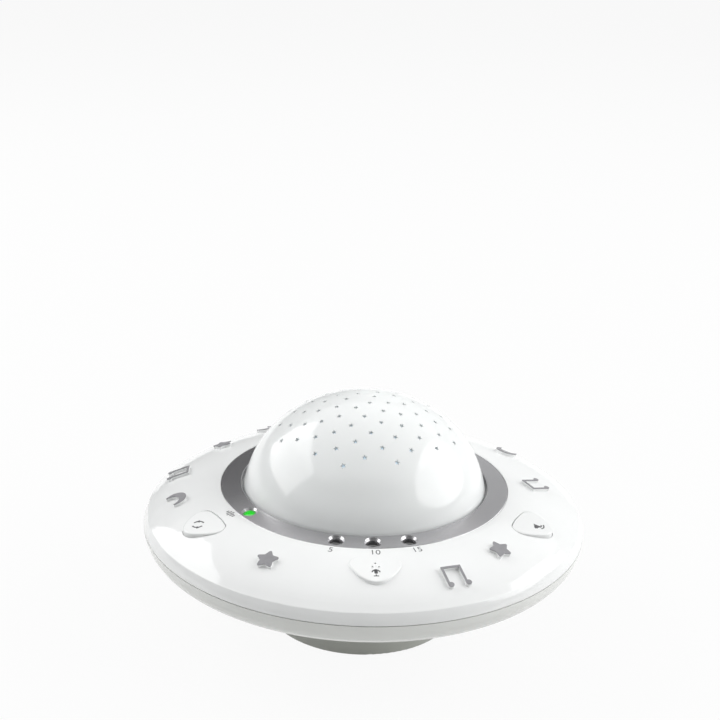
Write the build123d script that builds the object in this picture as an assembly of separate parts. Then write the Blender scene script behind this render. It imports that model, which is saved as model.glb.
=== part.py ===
from build123d import *

import os
from math import asin, atan2, cos, degrees, pi, radians, sin, sqrt, tan

os.makedirs("parts", exist_ok=True)

# Millimetres. +Z is up, the origin is on the surface under the middle of the foot, the front faces -Y.
# An angle called an offset is counted from the front, positive towards +X.

# Overall form
body_radius = 95.0
parting_height = 46.5
wall = 2.4
shoulder_rise = 14.8
shoulder_slope = 1.5
shoulder_handle = 6.1
rim_handle = 9.3
crown_share = 0.78
crease_run = 3.5
crease_radius = 0.7
band_bow = 0.2
rim_radius = 11.6
underside_slope = 26.0
foot_radius = 42.0
foot_top_radius = 45.5
foot_edge_radius = 1.2
floor_thickness = 3.6

# Seam between the two shells
seam_gap = 0.4
seam_depth = 0.9
tongue_height = 1.6
tongue_thickness = 1.2
tongue_clearance = 0.5
tongue_depth = 5.0
bridge_depth = 2.4

# Trim ring
ring_radius = 62.0
ring_bore_radius = 53.2
ring_rise = 1.0
ring_thickness = 2.0
ring_clearance = 0.15
ring_edge = 0.3
ring_pin_radius = 1.3
ring_pin_length = 3.4
ring_pin_offsets = [35.0, 100.0, 155.0, 205.0, 260.0]

# Star dome
dome_radius = 52.7
dome_rise = 46.6
dome_lift = 8.0
dome_wall = 1.8
dome_flange_radius = 54.0
dome_flange_thickness = 1.8
ledge_thickness = 2.2
liner_wall = 1.2
liner_clearance = 0.3
liner_seat_width = 1.0

# Star windows in the dome
window_count = 84
window_reach = 39.5
window_radius = 1.3
window_waist = 0.6
window_turn = 24.0
golden_turn = 137.508

# Pads
pad_width = 19.2
pad_length = 15.4
pad_corner_radius = 4.6
pad_tip_radius = 6.5
pad_bow = 1.6
pad_side_bow = 2.2
pad_slope = 9.0
pad_edge_radius = 0.6
pad_flare = 2.0
pad_point = 0.3
mic_pad_inset = 19.2
key_inset = 16.6
mode_offset = -61.7
volume_offset = 61.4

# Keys
key_clearance = 0.2
key_wall = 1.8
key_collar_wall = 1.4
key_seat_height = 53.0
key_seat_gap = 0.2
key_lug_width = 6.0
key_lug_reach = 1.2
key_lug_thickness = 1.4
key_travel = 0.8
key_stem_radius = 2.0

# Raised ornaments. A place is an offset, a distance in from the rim and a turn about its own normal.
ornament_height = 1.1
cap_thickness = 0.3
star_places = [(-31.6, 16.8, 10.6), (40.2, 17.9, -9.6), (150.0, 17.0, 0.0), (234.2, 17.0, 0.0)]
note_places = [(21.5, 12.4, -4.0), (90.8, 20.0, 30.0), (181.0, 15.0, 0.0), (258.2, 11.8, 13.0)]
moon_places = [(120.5, 15.0, 20.0), (212.9, 15.0, 20.0), (278.3, 13.8, 20.0)]
star_points = 5
star_radius = 5.1
star_waist = 2.8
star_point_radius = 0.6
star_notch_radius = 0.5
note_width = 8.2
note_length = 10.0
note_stroke = 0.9
note_head_radius = 1.15
moon_radius = 4.9
moon_bite_radius = 3.9
moon_bite_shift = 2.4
moon_horn_radius = 0.18
boss_root = 1.8

# Indicator lights
led_radius = 2.5
led_height = 8.6
led_dome_radius = 2.35
led_flange_radius = 2.95
led_flange_thickness = 1.0
led_hole_radius = 2.6
led_sink_radius = 3.4
led_sink_depth = 0.9
led_sink_run = 0.2
led_recess = 2.4
led_spacer_height = 3.0
led_leg_size = 0.5
led_leg_pitch = 2.54
status_offset = -58.0
timer_offsets = [-14.5, 0.0, 14.5]

# Key board
board_thickness = 1.6
key_board_inner_radius = 54.0
key_board_inset = 12.0
key_board_half_angle = 75.0
board_notch_clearance = 0.8
board_post_radius = 2.6
board_post_circle = 61.0
board_post_offsets = [-70.0, -36.0, 27.0, 70.0]
switch_size = 6.0
switch_height = 3.4
plunger_radius = 1.6
plunger_rise = 0.9
plunger_sink = 1.0
plunger_clearance = 0.15

# Microphone
mic_hole_radius = 0.45
mic_hole_circle = 1.4
mic_hole_turns = [90.0, 210.0, 330.0]
mic_shift = 2.9
mic_capsule_radius = 3.0
mic_capsule_height = 2.6
mic_boot_wall = 1.3
mic_boot_height = 3.4
mic_tube_wall = 1.2
mic_tube_lip = 0.3
mic_air_gap = 0.4
mic_lead_radius = 0.25

# Screws and their posts
case_post_inset = 13.0
case_post_radius = 3.4
case_post_count = 6
case_post_start = 30.0
case_screw_radius = 1.4
case_screw_length = 11.2
case_head_radius = 2.7
case_head_height = 1.8
case_well_clearance = 0.4
case_well_wall = 1.4
case_web = 4.6
small_screw_radius = 1.1
small_head_radius = 2.1
small_head_height = 1.4
carrier_screw_length = 5.5
key_board_screw_length = 6.1
main_screw_length = 6.6
lamp_screw_radius = 0.99
lamp_screw_length = 3.2
lamp_head_radius = 1.3
thread_clearance = 0.05
shank_clearance = 0.25
post_root = 1.0
hole_roof = 1.5
main_hole_depth = 7.0
speaker_hole_depth = 4.4
speaker_screw_length = 4.0
head_edge_share = 0.45
slot_length_share = 1.2
slot_width_share = 0.28
slot_depth_share = 0.9
shank_root_share = 0.3
tip_share = 0.5

# Lamp carrier and lamp
carrier_flange_radius = 53.5
carrier_flange_width = 8.0
carrier_wall = 1.8
carrier_depth = 9.0
carrier_floor_radius = 21.0
carrier_ear_outset = 5.0
carrier_ear_radius = 3.4
carrier_ear_offsets = [40.0, 160.0, -80.0]
carrier_post_depth = 4.2
carrier_lead_hole = 2.6
carrier_rise_share = 1.15
carrier_bevel = 0.6
carrier_post_wall = 1.1
lamp_board_lift = 1.0
lamp_board_radius = 12.0
lamp_led_size = 7.0
lamp_led_height = 1.4
lamp_led_chamfer = 0.6
lamp_lens_radius = 3.0
lamp_hood_radius = 9.0
lamp_hood_height = 5.0
lamp_hood_wall = 1.2
lamp_screw_circle = 10.4

# Battery bay, cells and contacts
cell_count = 3
cell_radius = 7.15
cell_length = 49.2
cell_nub_radius = 2.7
cell_nub_length = 1.3
cell_gap = 0.5
cell_edge_radius = 0.6
bay_wall = 1.6
bay_side_gap = 0.4
bay_roof_gap = 0.6
spring_length = 4.6
spring_base_radius = 4.4
spring_tip_radius = 2.6
spring_wire = 0.7
spring_turns = 3
spring_steps = 16
contact_thickness = 0.5
contact_height = 11.0
contact_width = 12.0
contact_tag_width = 3.0
contact_tag_reach = 3.0
contact_tag_height = 14.6
slot_clearance = 0.2

# Battery door
door_thickness = 2.0
door_lip = 1.6
door_clearance = 0.25
door_corner_radius = 2.5
door_ear_width = 10.0
door_ear_length = 7.0
door_screw_head_radius = 2.6
door_screw_head_depth = 1.3
door_screw_length = 9.0
door_post_height = 9.0
door_grip_count = 5
door_grip_depth = 0.5
door_grip_inset = 5.0
door_grip_pitch = 2.4
door_sink_clearance = 0.15
door_slot_width = 0.7
door_slot_depth = 1.0

# Feet
feet_circle = 35.4
feet_angle = 30.0
feet_radius = 4.0
feet_height = 2.2
feet_sink = 1.2
feet_clearance = 0.1
feet_edge = 0.4

# Main board
main_board_width = 66.0
main_board_length = 48.0
main_post_radius = 3.0
main_post_x = 29.0
main_post_y = 20.0
main_board_height = 23.2
main_board_corner = 2.0
chip_plans = [(-6.0, 2.0, 12.0, 12.0, 1.6), (12.0, 8.0, 8.0, 5.0, 1.5), (10.0, -12.0, 10.0, 4.4, 2.4)]
can_plans = [(-22.0, 8.0), (-22.0, -4.0), (20.0, -2.0)]
can_radius = 3.1
can_height = 7.5
can_edge_radius = 0.6

# Loudspeaker
speaker_inset = 29.0
speaker_radius = 18.0
speaker_rim_thickness = 1.6
speaker_basket_radius = 15.5
speaker_basket_depth = 6.0
speaker_magnet_radius = 8.5
speaker_magnet_depth = 5.0
speaker_cone_radius = 14.0
speaker_seat_rise = 2.2
speaker_seat_width = 2.2
speaker_seat_margin = 1.0
speaker_metal = 1.2
speaker_flare = 0.6
speaker_magnet_ledge = 0.8
speaker_magnet_edge = 0.5
speaker_cone_gap = 1.0
speaker_cone_roll = 0.7
speaker_roll_width = 1.5
speaker_roll_lift = 0.3
speaker_paper = 0.5
speaker_cap_radius = 4.0
speaker_cap_sink = 3.0
speaker_post_circle = 20.8
speaker_post_radius = 2.2
speaker_washer_radius = 3.5
speaker_washer_thickness = 0.8
grille_hole_radius = 1.0
grille_pitch = 4.0
grille_rings = 3

# Power slide switch
slider_inset = 29.0
slider_offset = 90.0
slider_length = 13.0
slider_width = 6.4
slider_depth = 5.0
slider_wall = 1.0
slider_seat_rise = 0.9
slider_knob_length = 4.0
slider_knob_width = 3.0
slider_travel = 4.0
slider_knob_proud = 1.3
slider_clearance = 0.3
slider_foot_thickness = 1.6
slider_foot_reach = 1.0
slider_seat_margin = 0.5
slider_knob_edge = 0.5

# Wires
lead_radius = 0.6
lead_bend_radius = 3.0
lead_pitch = 2.0
battery_lead_bend = 1.8
battery_lead_rise = 5.0
lamp_lead_bend = 1.4
lamp_lead_rise = 3.4
key_lead_count = 5
key_lead_rise = 9.0
key_lead_y = 19.5
speaker_lead_bend = 2.0
speaker_lead_rise = 7.0
speaker_lead_y = 18.0
speaker_lead_reach = 13.0
speaker_lead_height = 7.4

# How far a cut runs past the surface that it opens
overcut = 1.0

# Derived heights and radii
foot_base = feet_height - feet_sink
shoulder_height = parting_height + shoulder_rise
mic_pad_radius = body_radius - mic_pad_inset
mic_radius = mic_pad_radius - mic_shift
key_radius = body_radius - key_inset
key_board_outer_radius = body_radius - key_board_inset
case_post_circle = body_radius - case_post_inset
carrier_ear_circle = ring_radius + carrier_ear_outset
speaker_circle = body_radius - speaker_inset
slider_circle = body_radius - slider_inset
rebate_radius = ring_radius + ring_clearance
ring_seat = shoulder_height - ring_thickness
flange_seat = ring_seat - dome_flange_thickness
ledge_bottom = flange_seat - ledge_thickness
flange_recess_radius = dome_flange_radius + ring_clearance
dome_centre = parting_height + dome_lift
liner_radius = dome_radius - dome_wall - liner_clearance
liner_rise = dome_rise - dome_wall - liner_clearance
ledge_radius = liner_radius - liner_wall - liner_seat_width
hub_radius = rebate_radius + wall
led_circle = (ring_radius + ring_bore_radius) / 2
led_top = shoulder_height + ring_rise / 2 - led_recess
led_base = led_top - led_height
key_board_top = led_base - led_spacer_height
case_hole_radius = case_screw_radius + thread_clearance
case_well_radius = case_head_radius + case_well_clearance
case_socket_radius = case_well_radius + case_well_wall
small_hole_radius = small_screw_radius + thread_clearance
speaker_height = speaker_rim_thickness + speaker_basket_depth
mic_boot_radius = mic_capsule_radius + mic_boot_wall
mic_bore_radius = mic_boot_radius + shank_clearance
carrier_floor = ledge_bottom - carrier_depth
carrier_floor_top = carrier_floor + carrier_wall * carrier_rise_share
lamp_board_bottom = carrier_floor_top + lamp_board_lift
foot_top = (
    parting_height
    - rim_radius * cos(radians(underside_slope))
    - (body_radius - rim_radius * (1 - sin(radians(underside_slope))) - foot_top_radius)
    * tan(radians(underside_slope))
)
bay_width = cell_count * (2 * cell_radius + cell_gap) + 2 * bay_side_gap
bay_length = cell_length + cell_nub_length + spring_length + 2 * contact_thickness
cell_axis_height = foot_base + door_thickness + bay_side_gap + cell_radius
bay_roof = cell_axis_height + cell_radius + bay_roof_gap
door_width = bay_width + 2 * door_lip
door_length = bay_length + 2 * door_lip
door_post_y = door_length / 2 + door_ear_length / 2 - door_clearance
ring_cut_height = dome_centre + dome_rise


def front(offset, radius=0.0, height=0.0):
    """Place at a radius, turned from the front, whose own -Y points outward."""
    return Rot(0, 0, offset) * Pos(0, -radius, height)


def turned(*lines):
    """Solid of revolution about the vertical axis, from lines drawn as (radius, height)."""
    edges = [edge for line in lines for edge in line.edges()]
    return revolve(Plane.XZ * make_face(edges), Axis.Z)


def tube(outer, inner, bottom, top):
    """Upright ring between two heights, or a disc where the inner radius is zero."""
    profile = Polyline((inner, bottom), (outer, bottom), (outer, top), (inner, top), close=True)
    return turned(profile)


def rod(radius, bottom, top):
    """Upright round rod on its own axis."""
    return Pos(0, 0, (bottom + top) / 2) * Cylinder(radius, top - bottom)


def block(width, length, bottom, top):
    """Upright block centred on its own axis."""
    return Pos(0, 0, (bottom + top) / 2) * Box(width, length, top - bottom)


def joined(shapes):
    """One solid or compound out of several."""
    shapes = list(shapes)
    return shapes[0].fuse(*shapes[1:]) if len(shapes) > 1 else shapes[0]


def save(node, shapes):
    """Write the solids of one node to its file."""
    solids = [solid for shape in shapes for solid in shape.solids()]
    export_step(solids[0] if len(solids) == 1 else Compound(solids), f"parts/{node}.step")


def bezier_point(control, share):
    """Point and slope angle on a cubic curve, at a share of its way."""
    a, b, c, d = control
    rest = 1 - share
    place = a * rest**3 + b * 3 * rest**2 * share + c * 3 * rest * share**2 + d * share**3
    run = (b - a) * rest**2 + (c - b) * 2 * rest * share + (d - c) * share**2
    return place, atan2(-run.Y, run.X)


def crown_control():
    """Control points of the upper shell's meridian, from the trim ring out to the rim."""
    lean = radians(shoulder_slope)
    start = Vector(rebate_radius, shoulder_height)
    end = Vector(body_radius, parting_height)
    return [
        start,
        start + Vector(cos(lean), -sin(lean)) * shoulder_handle,
        end + Vector(0, rim_handle),
        end,
    ]


def crown_at(radius):
    """Height and slope angle of the upper shell's outside at a radius."""
    control = crown_control()
    low, high = 0.0, 1.0
    for _ in range(40):
        middle = (low + high) / 2
        if bezier_point(control, middle)[0].X < radius:
            low = middle
        else:
            high = middle
    place, slope = bezier_point(control, high)
    return place.Y, slope


def crown_inset(inset, start_radius):
    """Meridian that runs a wall's depth inside the crown, from a radius out to the parting plane."""
    height, slope = crown_at(start_radius)
    share = (body_radius - inset - start_radius) / (body_radius - rebate_radius)
    start = Vector(start_radius, height - inset / cos(slope))
    end = Vector(body_radius - inset, parting_height)
    bend = shoulder_handle * share
    return Bezier(
        start,
        start + Vector(cos(slope), -sin(slope)) * bend,
        end + Vector(0, rim_handle - inset / 2),
        end,
    )


def crown_outline():
    """Meridian of the outside: the crown, straight to its crease, and the band down to the parting line."""
    curve = Bezier(*crown_control()).trim(0, crown_share)
    crease = curve @ 1 + (curve % 1) * crease_run
    rim = Vector(body_radius, parting_height)
    fall = rim - crease
    middle = crease + fall / 2 + Vector(-fall.Y, fall.X).normalized() * band_bow
    return [curve, Line(curve @ 1, crease), ThreePointArc(crease, middle, rim)]


def crown_form(inset=0.0):
    """Filled body under the crown, drawn inset from its outside."""
    outline = [crown_inset(inset, rebate_radius)] if inset else crown_outline()
    start, end = outline[0] @ 0, outline[-1] @ 1
    base = Polyline((end.X, end.Y), (0, parting_height), (0, start.Y), (start.X, start.Y))
    form = turned(*outline, base)
    if inset:
        return form
    crease = outline[-1] @ 0
    edges = form.edges().filter_by(GeomType.CIRCLE)
    return fillet(edges.sort_by(lambda edge: abs(edge.radius - crease.X))[0], crease_radius)


def crown_cavity():
    """Room inside the upper shell, out to its wall and up to the ledge."""
    meridian = crown_inset(wall, hub_radius)
    start, end = meridian @ 0, meridian @ 1
    below = parting_height - tongue_height
    base = Polyline(
        (end.X, end.Y), (end.X, below), (0, below), (0, ledge_bottom), (hub_radius, ledge_bottom),
        (start.X, start.Y),
    )
    return turned(meridian, base)


def bowed_disc(start, end, bow, grow):
    """Disc whose rim bows out between two points that run anticlockwise, grown all round."""
    run = Vector(*end) - Vector(*start)
    radius = ((run.length / 2) ** 2 + bow**2) / (2 * bow)
    centre = Vector(*start) + run / 2 + Vector(run.Y, -run.X).normalized() * (bow - radius)
    return Pos(centre.X, centre.Y) * Circle(radius + grow)


def pad_face(grow=0.0):
    """Plan of a pad: a bowed triangle with round corners, its tip pointing outward."""
    half = pad_width / 2 + pad_flare
    back = pad_length / 2
    left, right, tip = (-half, back), (half, back), (0, -back - pad_point)
    face = bowed_disc(right, left, pad_bow, grow)
    face &= bowed_disc(left, tip, pad_side_bow, grow)
    face &= bowed_disc(tip, right, pad_side_bow, grow)
    corners = face.vertices().sort_by(Axis.Y)
    face = fillet(corners[1:], pad_corner_radius + grow)
    return fillet(face.vertices().sort_by(Axis.Y)[:1], pad_tip_radius + grow)


def pad_limit(radius, lower=0.0):
    """Everything above a pad's sloping top, in the pad's own place."""
    slope = radians(pad_slope)
    back_height = crown_at(radius - pad_length / 2)[0]
    top = back_height - tan(slope) * pad_length / 2 - lower
    room = 4 * pad_width
    return Pos(0, 0, top) * Rot(pad_slope, 0, 0) * Pos(0, 0, room / 2) * Box(room, room, room)


def pad_prism(radius, bottom, grow=0.0, lower=0.0):
    """Upright pad body under its sloping top, in the pad's own place."""
    prism = extrude(Pos(0, 0, bottom) * pad_face(grow), amount=ring_cut_height - bottom)
    return prism - pad_limit(radius, lower)


def soften_top(prism, radius):
    """Round the upper edge of a pad."""
    top = prism.faces().sort_by(Axis.Z)[-1]
    return fillet(top.edges(), radius)


def star_face(radius, waist, point_radius=0.0, notch_radius=0.0):
    """Five-pointed star with a point towards +Y."""
    points = []
    for index in range(2 * star_points):
        reach = radius if index % 2 == 0 else waist
        angle = radians(90 + 180 / star_points * index)
        points.append((reach * cos(angle), reach * sin(angle)))
    face = make_face(Polyline(*points, close=True))
    if point_radius:
        corners = face.vertices().sort_by_distance((0, 0, 0))
        face = fillet(corners[star_points:], point_radius)
        face = fillet(face.vertices().sort_by_distance((0, 0, 0))[:star_points], notch_radius)
    return face


def note_face():
    """Two notes under one beam, the beam towards +Y and the heads on the right of the stems."""
    stem_x = note_width / 2 - note_stroke / 2
    foot_y = -note_length / 2 + note_head_radius
    beam = Pos(0, note_length / 2 - note_stroke / 2) * Rectangle(note_width, note_stroke)
    stem_length = note_length - note_head_radius
    face = beam
    for side in (-1, 1):
        stem = Pos(side * stem_x, note_length / 2 - stem_length / 2) * Rectangle(note_stroke, stem_length)
        head = Pos(side * stem_x + note_head_radius - note_stroke / 2, foot_y) * Circle(note_head_radius)
        face = face + stem + head
    return Pos(-note_head_radius / 2, 0) * face


def moon_face():
    """Crescent whose horns point outward."""
    moon = Circle(moon_radius) - Pos(0, -moon_bite_shift) * Circle(moon_bite_radius)
    return fillet(moon.vertices(), moon_horn_radius)


def ornament_place(place, lift):
    """Place on the crown's outside, square to it, turned and lifted along its normal."""
    angle, inset, turn = place
    height, slope = crown_at(body_radius - inset)
    square = front(angle, body_radius - inset, height) * Rot(degrees(slope), 0, 0)
    return square * Rot(0, 0, turn) * Pos(0, 0, lift)


def ornaments(face, places, bottom, top):
    """Copies of one flat ornament between two depths on the crown."""
    return [extrude(ornament_place(place, bottom) * face, amount=top - bottom) for place in places]


def underside_point(inset):
    """End of the rim's arc on the underside, drawn inset from the outside."""
    slope = radians(underside_slope)
    centre_radius = body_radius - rim_radius
    reach = rim_radius - inset
    return Vector(centre_radius + reach * sin(slope), parting_height - reach * cos(slope))


def underside_height(radius, inset=0.0):
    """Height of the sloping underside at a radius, drawn inset from the outside."""
    end = underside_point(inset)
    return end.Y - (end.X - radius) * tan(radians(underside_slope))


def underside_place(offset, radius, rise=0.0):
    """Place on the inside of the sloping underside, whose +Z points into the case."""
    height = underside_height(radius, wall)
    return front(offset, radius, height) * Rot(-underside_slope, 0, 0) * Pos(0, 0, rise)


def bowl_form(inset=0.0):
    """Filled body of the lower shell and its foot, drawn inset from the outside."""
    end = underside_point(inset)
    rim = Vector(body_radius - inset, parting_height)
    middle_angle = radians((90 - underside_slope) / 2)
    reach = rim_radius - inset
    centre = Vector(body_radius - rim_radius, parting_height)
    middle = centre + Vector(cos(middle_angle), -sin(middle_angle)) * reach
    draft = (foot_top_radius - foot_radius) / (foot_top - foot_base)
    floor = foot_base + (floor_thickness if inset else 0)
    slope = tan(radians(underside_slope))
    corner_z = (end.Y + (foot_radius - inset - draft * foot_base - end.X) * slope) / (1 - draft * slope)
    corner_r = foot_radius - inset + draft * (corner_z - foot_base)
    floor_r = foot_radius - inset + draft * (floor - foot_base)
    arc = ThreePointArc((rim.X, rim.Y), (middle.X, middle.Y), (end.X, end.Y))
    line = Polyline(
        (end.X, end.Y), (corner_r, corner_z), (floor_r, floor), (0, floor), (0, parting_height),
        (rim.X, rim.Y),
    )
    return turned(arc, line)


def case_offsets():
    """Offsets of the posts that hold the two shells together."""
    return [case_post_start + 360 / case_post_count * index for index in range(case_post_count)]


def feet_places():
    """Places of the rubber feet in plan."""
    angles = [feet_angle, 180 - feet_angle, 180 + feet_angle, -feet_angle]
    return [Rot(0, 0, angle) * Pos(feet_circle, 0, 0) for angle in angles]


def main_post_places():
    """Places of the main board's posts in plan."""
    return [Pos(x * main_post_x, y * main_post_y, 0) for x in (-1, 1) for y in (-1, 1)]


def door_post_places():
    """Places of the battery door's screws in plan."""
    return [Pos(0, side * door_post_y, 0) for side in (-1, 1)]


def screw(radius, length, head_radius, head_height):
    """Pan-head screw pointing up, its head's upper face at zero height."""
    head = rod(head_radius, -head_height, 0)
    edge = head.edges().group_by(Axis.Z)[0]
    head = fillet(edge, head_height * head_edge_share)
    slot_length = head_radius * slot_length_share
    slot_width = head_radius * slot_width_share
    slot = Pos(0, 0, -head_height) * Box(slot_length, slot_width, head_height * slot_depth_share)
    cross = slot + Rot(0, 0, 90) * slot
    shank = rod(radius, -head_height * shank_root_share, length)
    tip = shank.edges().group_by(Axis.Z)[-1]
    return (head - cross) + chamfer(tip, radius * tip_share)


def upper_shell():
    """Upper half of the case, with its ledge, key collars, posts and moulded ornaments."""
    bosses = ornaments(star_plan, star_places, -boss_root, ornament_height)
    bosses += ornaments(note_face(), note_places, -boss_root, ornament_height)
    bosses += ornaments(moon_face(), moon_places, -boss_root, ornament_height)
    mic_pad = soften_top(pad_prism(mic_pad_radius, parting_height), pad_edge_radius)
    form = joined([crown_form(), front(0, mic_pad_radius) * mic_pad] + bosses)

    shell = form.cut(
        crown_cavity(),
        tube(rebate_radius, 0, ring_seat, ring_cut_height),
        tube(flange_recess_radius, 0, flange_seat, ring_cut_height),
        tube(ledge_radius, 0, parting_height - tongue_height, ring_cut_height),
    )
    hub = tube(hub_radius, flange_recess_radius, ledge_bottom, ring_seat)

    core = crown_form(wall / 2)
    ribs = []
    case_post = rod(case_post_radius, parting_height, ring_cut_height)
    ribs += [front(angle, case_post_circle) * case_post for angle in case_offsets()]
    ear_post = rod(carrier_ear_radius, ledge_bottom, ring_cut_height)
    ribs += [front(angle, carrier_ear_circle) * ear_post for angle in carrier_ear_offsets]
    collar = extrude(Pos(0, 0, key_seat_height) * pad_face(key_collar_wall), amount=ring_rise + shoulder_rise)
    ribs += [front(angle, key_radius) * collar for angle in (mode_offset, volume_offset)]
    mic_tube_bottom = mic_roof() - mic_boot_height - mic_tube_lip
    ribs.append(front(0, mic_radius) * rod(mic_bore_radius + mic_tube_wall, mic_tube_bottom, ring_cut_height))
    board_post = rod(board_post_radius, key_board_top, ledge_bottom + wall / 2)
    posts = [front(angle, board_post_circle) * board_post for angle in board_post_offsets]
    shell = shell.fuse(hub, *posts, *(joined(ribs) & core).solids())

    cuts = []
    pocket = extrude(Pos(0, 0, parting_height) * pad_face(), amount=ring_cut_height - parting_height)
    cuts += [front(angle, key_radius) * pocket for angle in (mode_offset, volume_offset)]
    led_hole = rod(led_hole_radius, ledge_bottom - overcut, ring_cut_height)
    cuts += [front(angle, led_circle) * led_hole for angle in [status_offset] + timer_offsets]
    pin_hole = rod(ring_pin_radius + ring_clearance, ledge_bottom - overcut, ring_cut_height)
    cuts += [front(angle, led_circle) * pin_hole for angle in ring_pin_offsets]
    case_hole_top = crown_at(case_post_circle + case_post_radius)[0] - wall
    case_hole = rod(case_hole_radius, parting_height - overcut, case_hole_top)
    cuts += [front(angle, case_post_circle) * case_hole for angle in case_offsets()]
    ear_hole = rod(small_hole_radius, ledge_bottom - overcut, ledge_bottom + carrier_post_depth)
    cuts += [front(angle, carrier_ear_circle) * ear_hole for angle in carrier_ear_offsets]
    board_hole = rod(small_hole_radius, key_board_top - overcut, ledge_bottom)
    cuts += [front(angle, board_post_circle) * board_hole for angle in board_post_offsets]
    cuts.append(front(0, mic_radius) * rod(mic_bore_radius, parting_height, mic_roof()))
    sound_hole = Pos(mic_hole_circle, 0) * rod(mic_hole_radius, parting_height, ring_cut_height)
    cuts += [front(0, mic_radius) * Rot(0, 0, turn) * sound_hole for turn in mic_hole_turns]
    groove_bottom = parting_height - overcut
    groove_top = parting_height + seam_gap / 2
    groove = tube(body_radius + overcut, body_radius - seam_depth, groove_bottom, groove_top)
    return shell.cut(*cuts, groove).clean()


def mic_roof():
    """Height of the underside of the pad over the microphone."""
    return crown_at(mic_radius + mic_boot_radius)[0] - wall


def lower_shell():
    """Lower half of the case: rim, sloping underside, foot, battery bay, posts and loudspeaker seat."""
    form = bowl_form()
    edges = form.edges().filter_by(GeomType.CIRCLE).group_by(Axis.Z)[0]
    outer = fillet(edges, foot_edge_radius)
    shell = outer.cut(bowl_form(wall))
    tongue_radius = body_radius - wall - tongue_clearance
    tongue_inner = tongue_radius - tongue_thickness
    tongue_bottom = parting_height - tongue_depth
    tongue = tube(tongue_radius, tongue_inner, tongue_bottom, parting_height + tongue_height)
    bridge = tube(body_radius - wall / 2, tongue_inner, tongue_bottom, parting_height - bridge_depth)

    root = foot_base + post_root
    rib_root = -wall * 3 / 4
    speaker_top = speaker_seat_rise + speaker_rim_thickness
    door_post_top = foot_base + door_thickness + door_post_height
    ribs = [block(bay_width + 2 * bay_wall, bay_length + 2 * bay_wall, root, bay_roof + bay_wall)]
    ribs += [place * rod(main_post_radius, root, main_board_height) for place in main_post_places()]
    ribs += [place * rod(case_post_radius, root, door_post_top) for place in door_post_places()]
    socket = rod(case_socket_radius, foot_base, parting_height)
    ribs += [front(angle, case_post_circle) * socket for angle in case_offsets()]
    seat = rod(speaker_radius + speaker_seat_margin, rib_root, speaker_seat_rise)
    seat -= rod(speaker_radius - speaker_seat_width, -wall, speaker_seat_rise + overcut)
    ribs.append(underside_place(180, speaker_circle) * seat)
    ribs += [place * rod(speaker_post_radius, rib_root, speaker_top) for place in speaker_post_places()]
    slide_margin = 2 * slider_seat_margin
    slide_seat = block(slider_length + slide_margin, slider_width + slide_margin, rib_root, slider_seat_rise)
    ribs.append(underside_place(slider_offset, slider_circle) * slide_seat)
    shell = shell.fuse(tongue, bridge & outer, *(joined(ribs) & outer).solids())

    under = foot_base - overcut
    cuts = [block(bay_width, bay_length, under, bay_roof)]
    cuts.append(extrude(Pos(0, 0, under) * door_plan(door_clearance), amount=door_thickness + overcut))
    door_hole = rod(case_hole_radius, foot_base, door_post_top - hole_roof)
    cuts += [place * door_hole for place in door_post_places()]
    main_hole = rod(small_hole_radius, main_board_height - main_hole_depth, main_board_height + overcut)
    cuts += [place * main_hole for place in main_post_places()]
    foot_well = rod(feet_radius + feet_clearance, under, foot_base + feet_sink)
    cuts += [place * foot_well for place in feet_places()]
    screw_well = rod(case_well_radius, under, parting_height - case_web)
    screw_well += rod(case_screw_radius + shank_clearance, foot_base, parting_height + overcut)
    cuts += [front(angle, case_post_circle) * screw_well for angle in case_offsets()]
    speaker_hole = rod(small_hole_radius, speaker_top - speaker_hole_depth, speaker_top + overcut)
    cuts += [place * speaker_hole for place in speaker_post_places()]
    cuts.append(grille())
    slot_length = slider_knob_length + slider_travel + 2 * slider_clearance
    slot_width = slider_knob_width + 2 * slider_clearance
    slot = block(slot_length, slot_width, -3 * wall, slider_seat_rise + overcut)
    cuts.append(underside_place(slider_offset, slider_circle) * slot)
    tag_width = contact_tag_width + 2 * slot_clearance
    tag_bottom = contact_tag_height - slot_clearance
    tag_slot = block(tag_width, 3 * bay_wall, tag_bottom, tag_bottom + contact_thickness + 2 * slot_clearance)
    for side, column in ((1, 0), (-1, cell_count - 1)):
        cuts.append(Pos(cell_x(column), side * (bay_length + bay_wall) / 2, 0) * tag_slot)
    groove_bottom = parting_height - seam_gap / 2
    groove_top = parting_height + overcut
    groove = tube(body_radius + overcut, body_radius - seam_depth, groove_bottom, groove_top)
    return shell.cut(*cuts, groove).clean()


def grille():
    """Round sound holes in rings through the underside, below the loudspeaker."""
    place = underside_place(180, speaker_circle)
    hole = rod(grille_hole_radius, -3 * wall, overcut)
    holes = [place * hole]
    for ring in range(1, grille_rings + 1):
        for index in range(6 * ring):
            holes.append(place * Rot(0, 0, 60 * index / ring) * Pos(ring * grille_pitch, 0) * hole)
    return Compound([solid for item in holes for solid in item.solids()])


def speaker_post_places():
    """Places of the loudspeaker's posts round its rim."""
    place = underside_place(180, speaker_circle)
    return [place * Rot(0, 0, turn) * Pos(speaker_post_circle, 0, 0) for turn in (-90, 30, 150)]


def cell_x(column):
    """Middle of one cell's column across the bay."""
    return (column - (cell_count - 1) / 2) * (2 * cell_radius + cell_gap)


def door_plan(grow=0.0):
    """Plan of the battery door, with a screw ear at each end."""
    plate = RectangleRounded(door_width + 2 * grow, door_length + 2 * grow, door_corner_radius)
    ear_reach = door_length + 2 * door_ear_length
    ears = RectangleRounded(door_ear_width + 2 * grow, ear_reach + 2 * grow, door_corner_radius)
    return plate + ears


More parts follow.
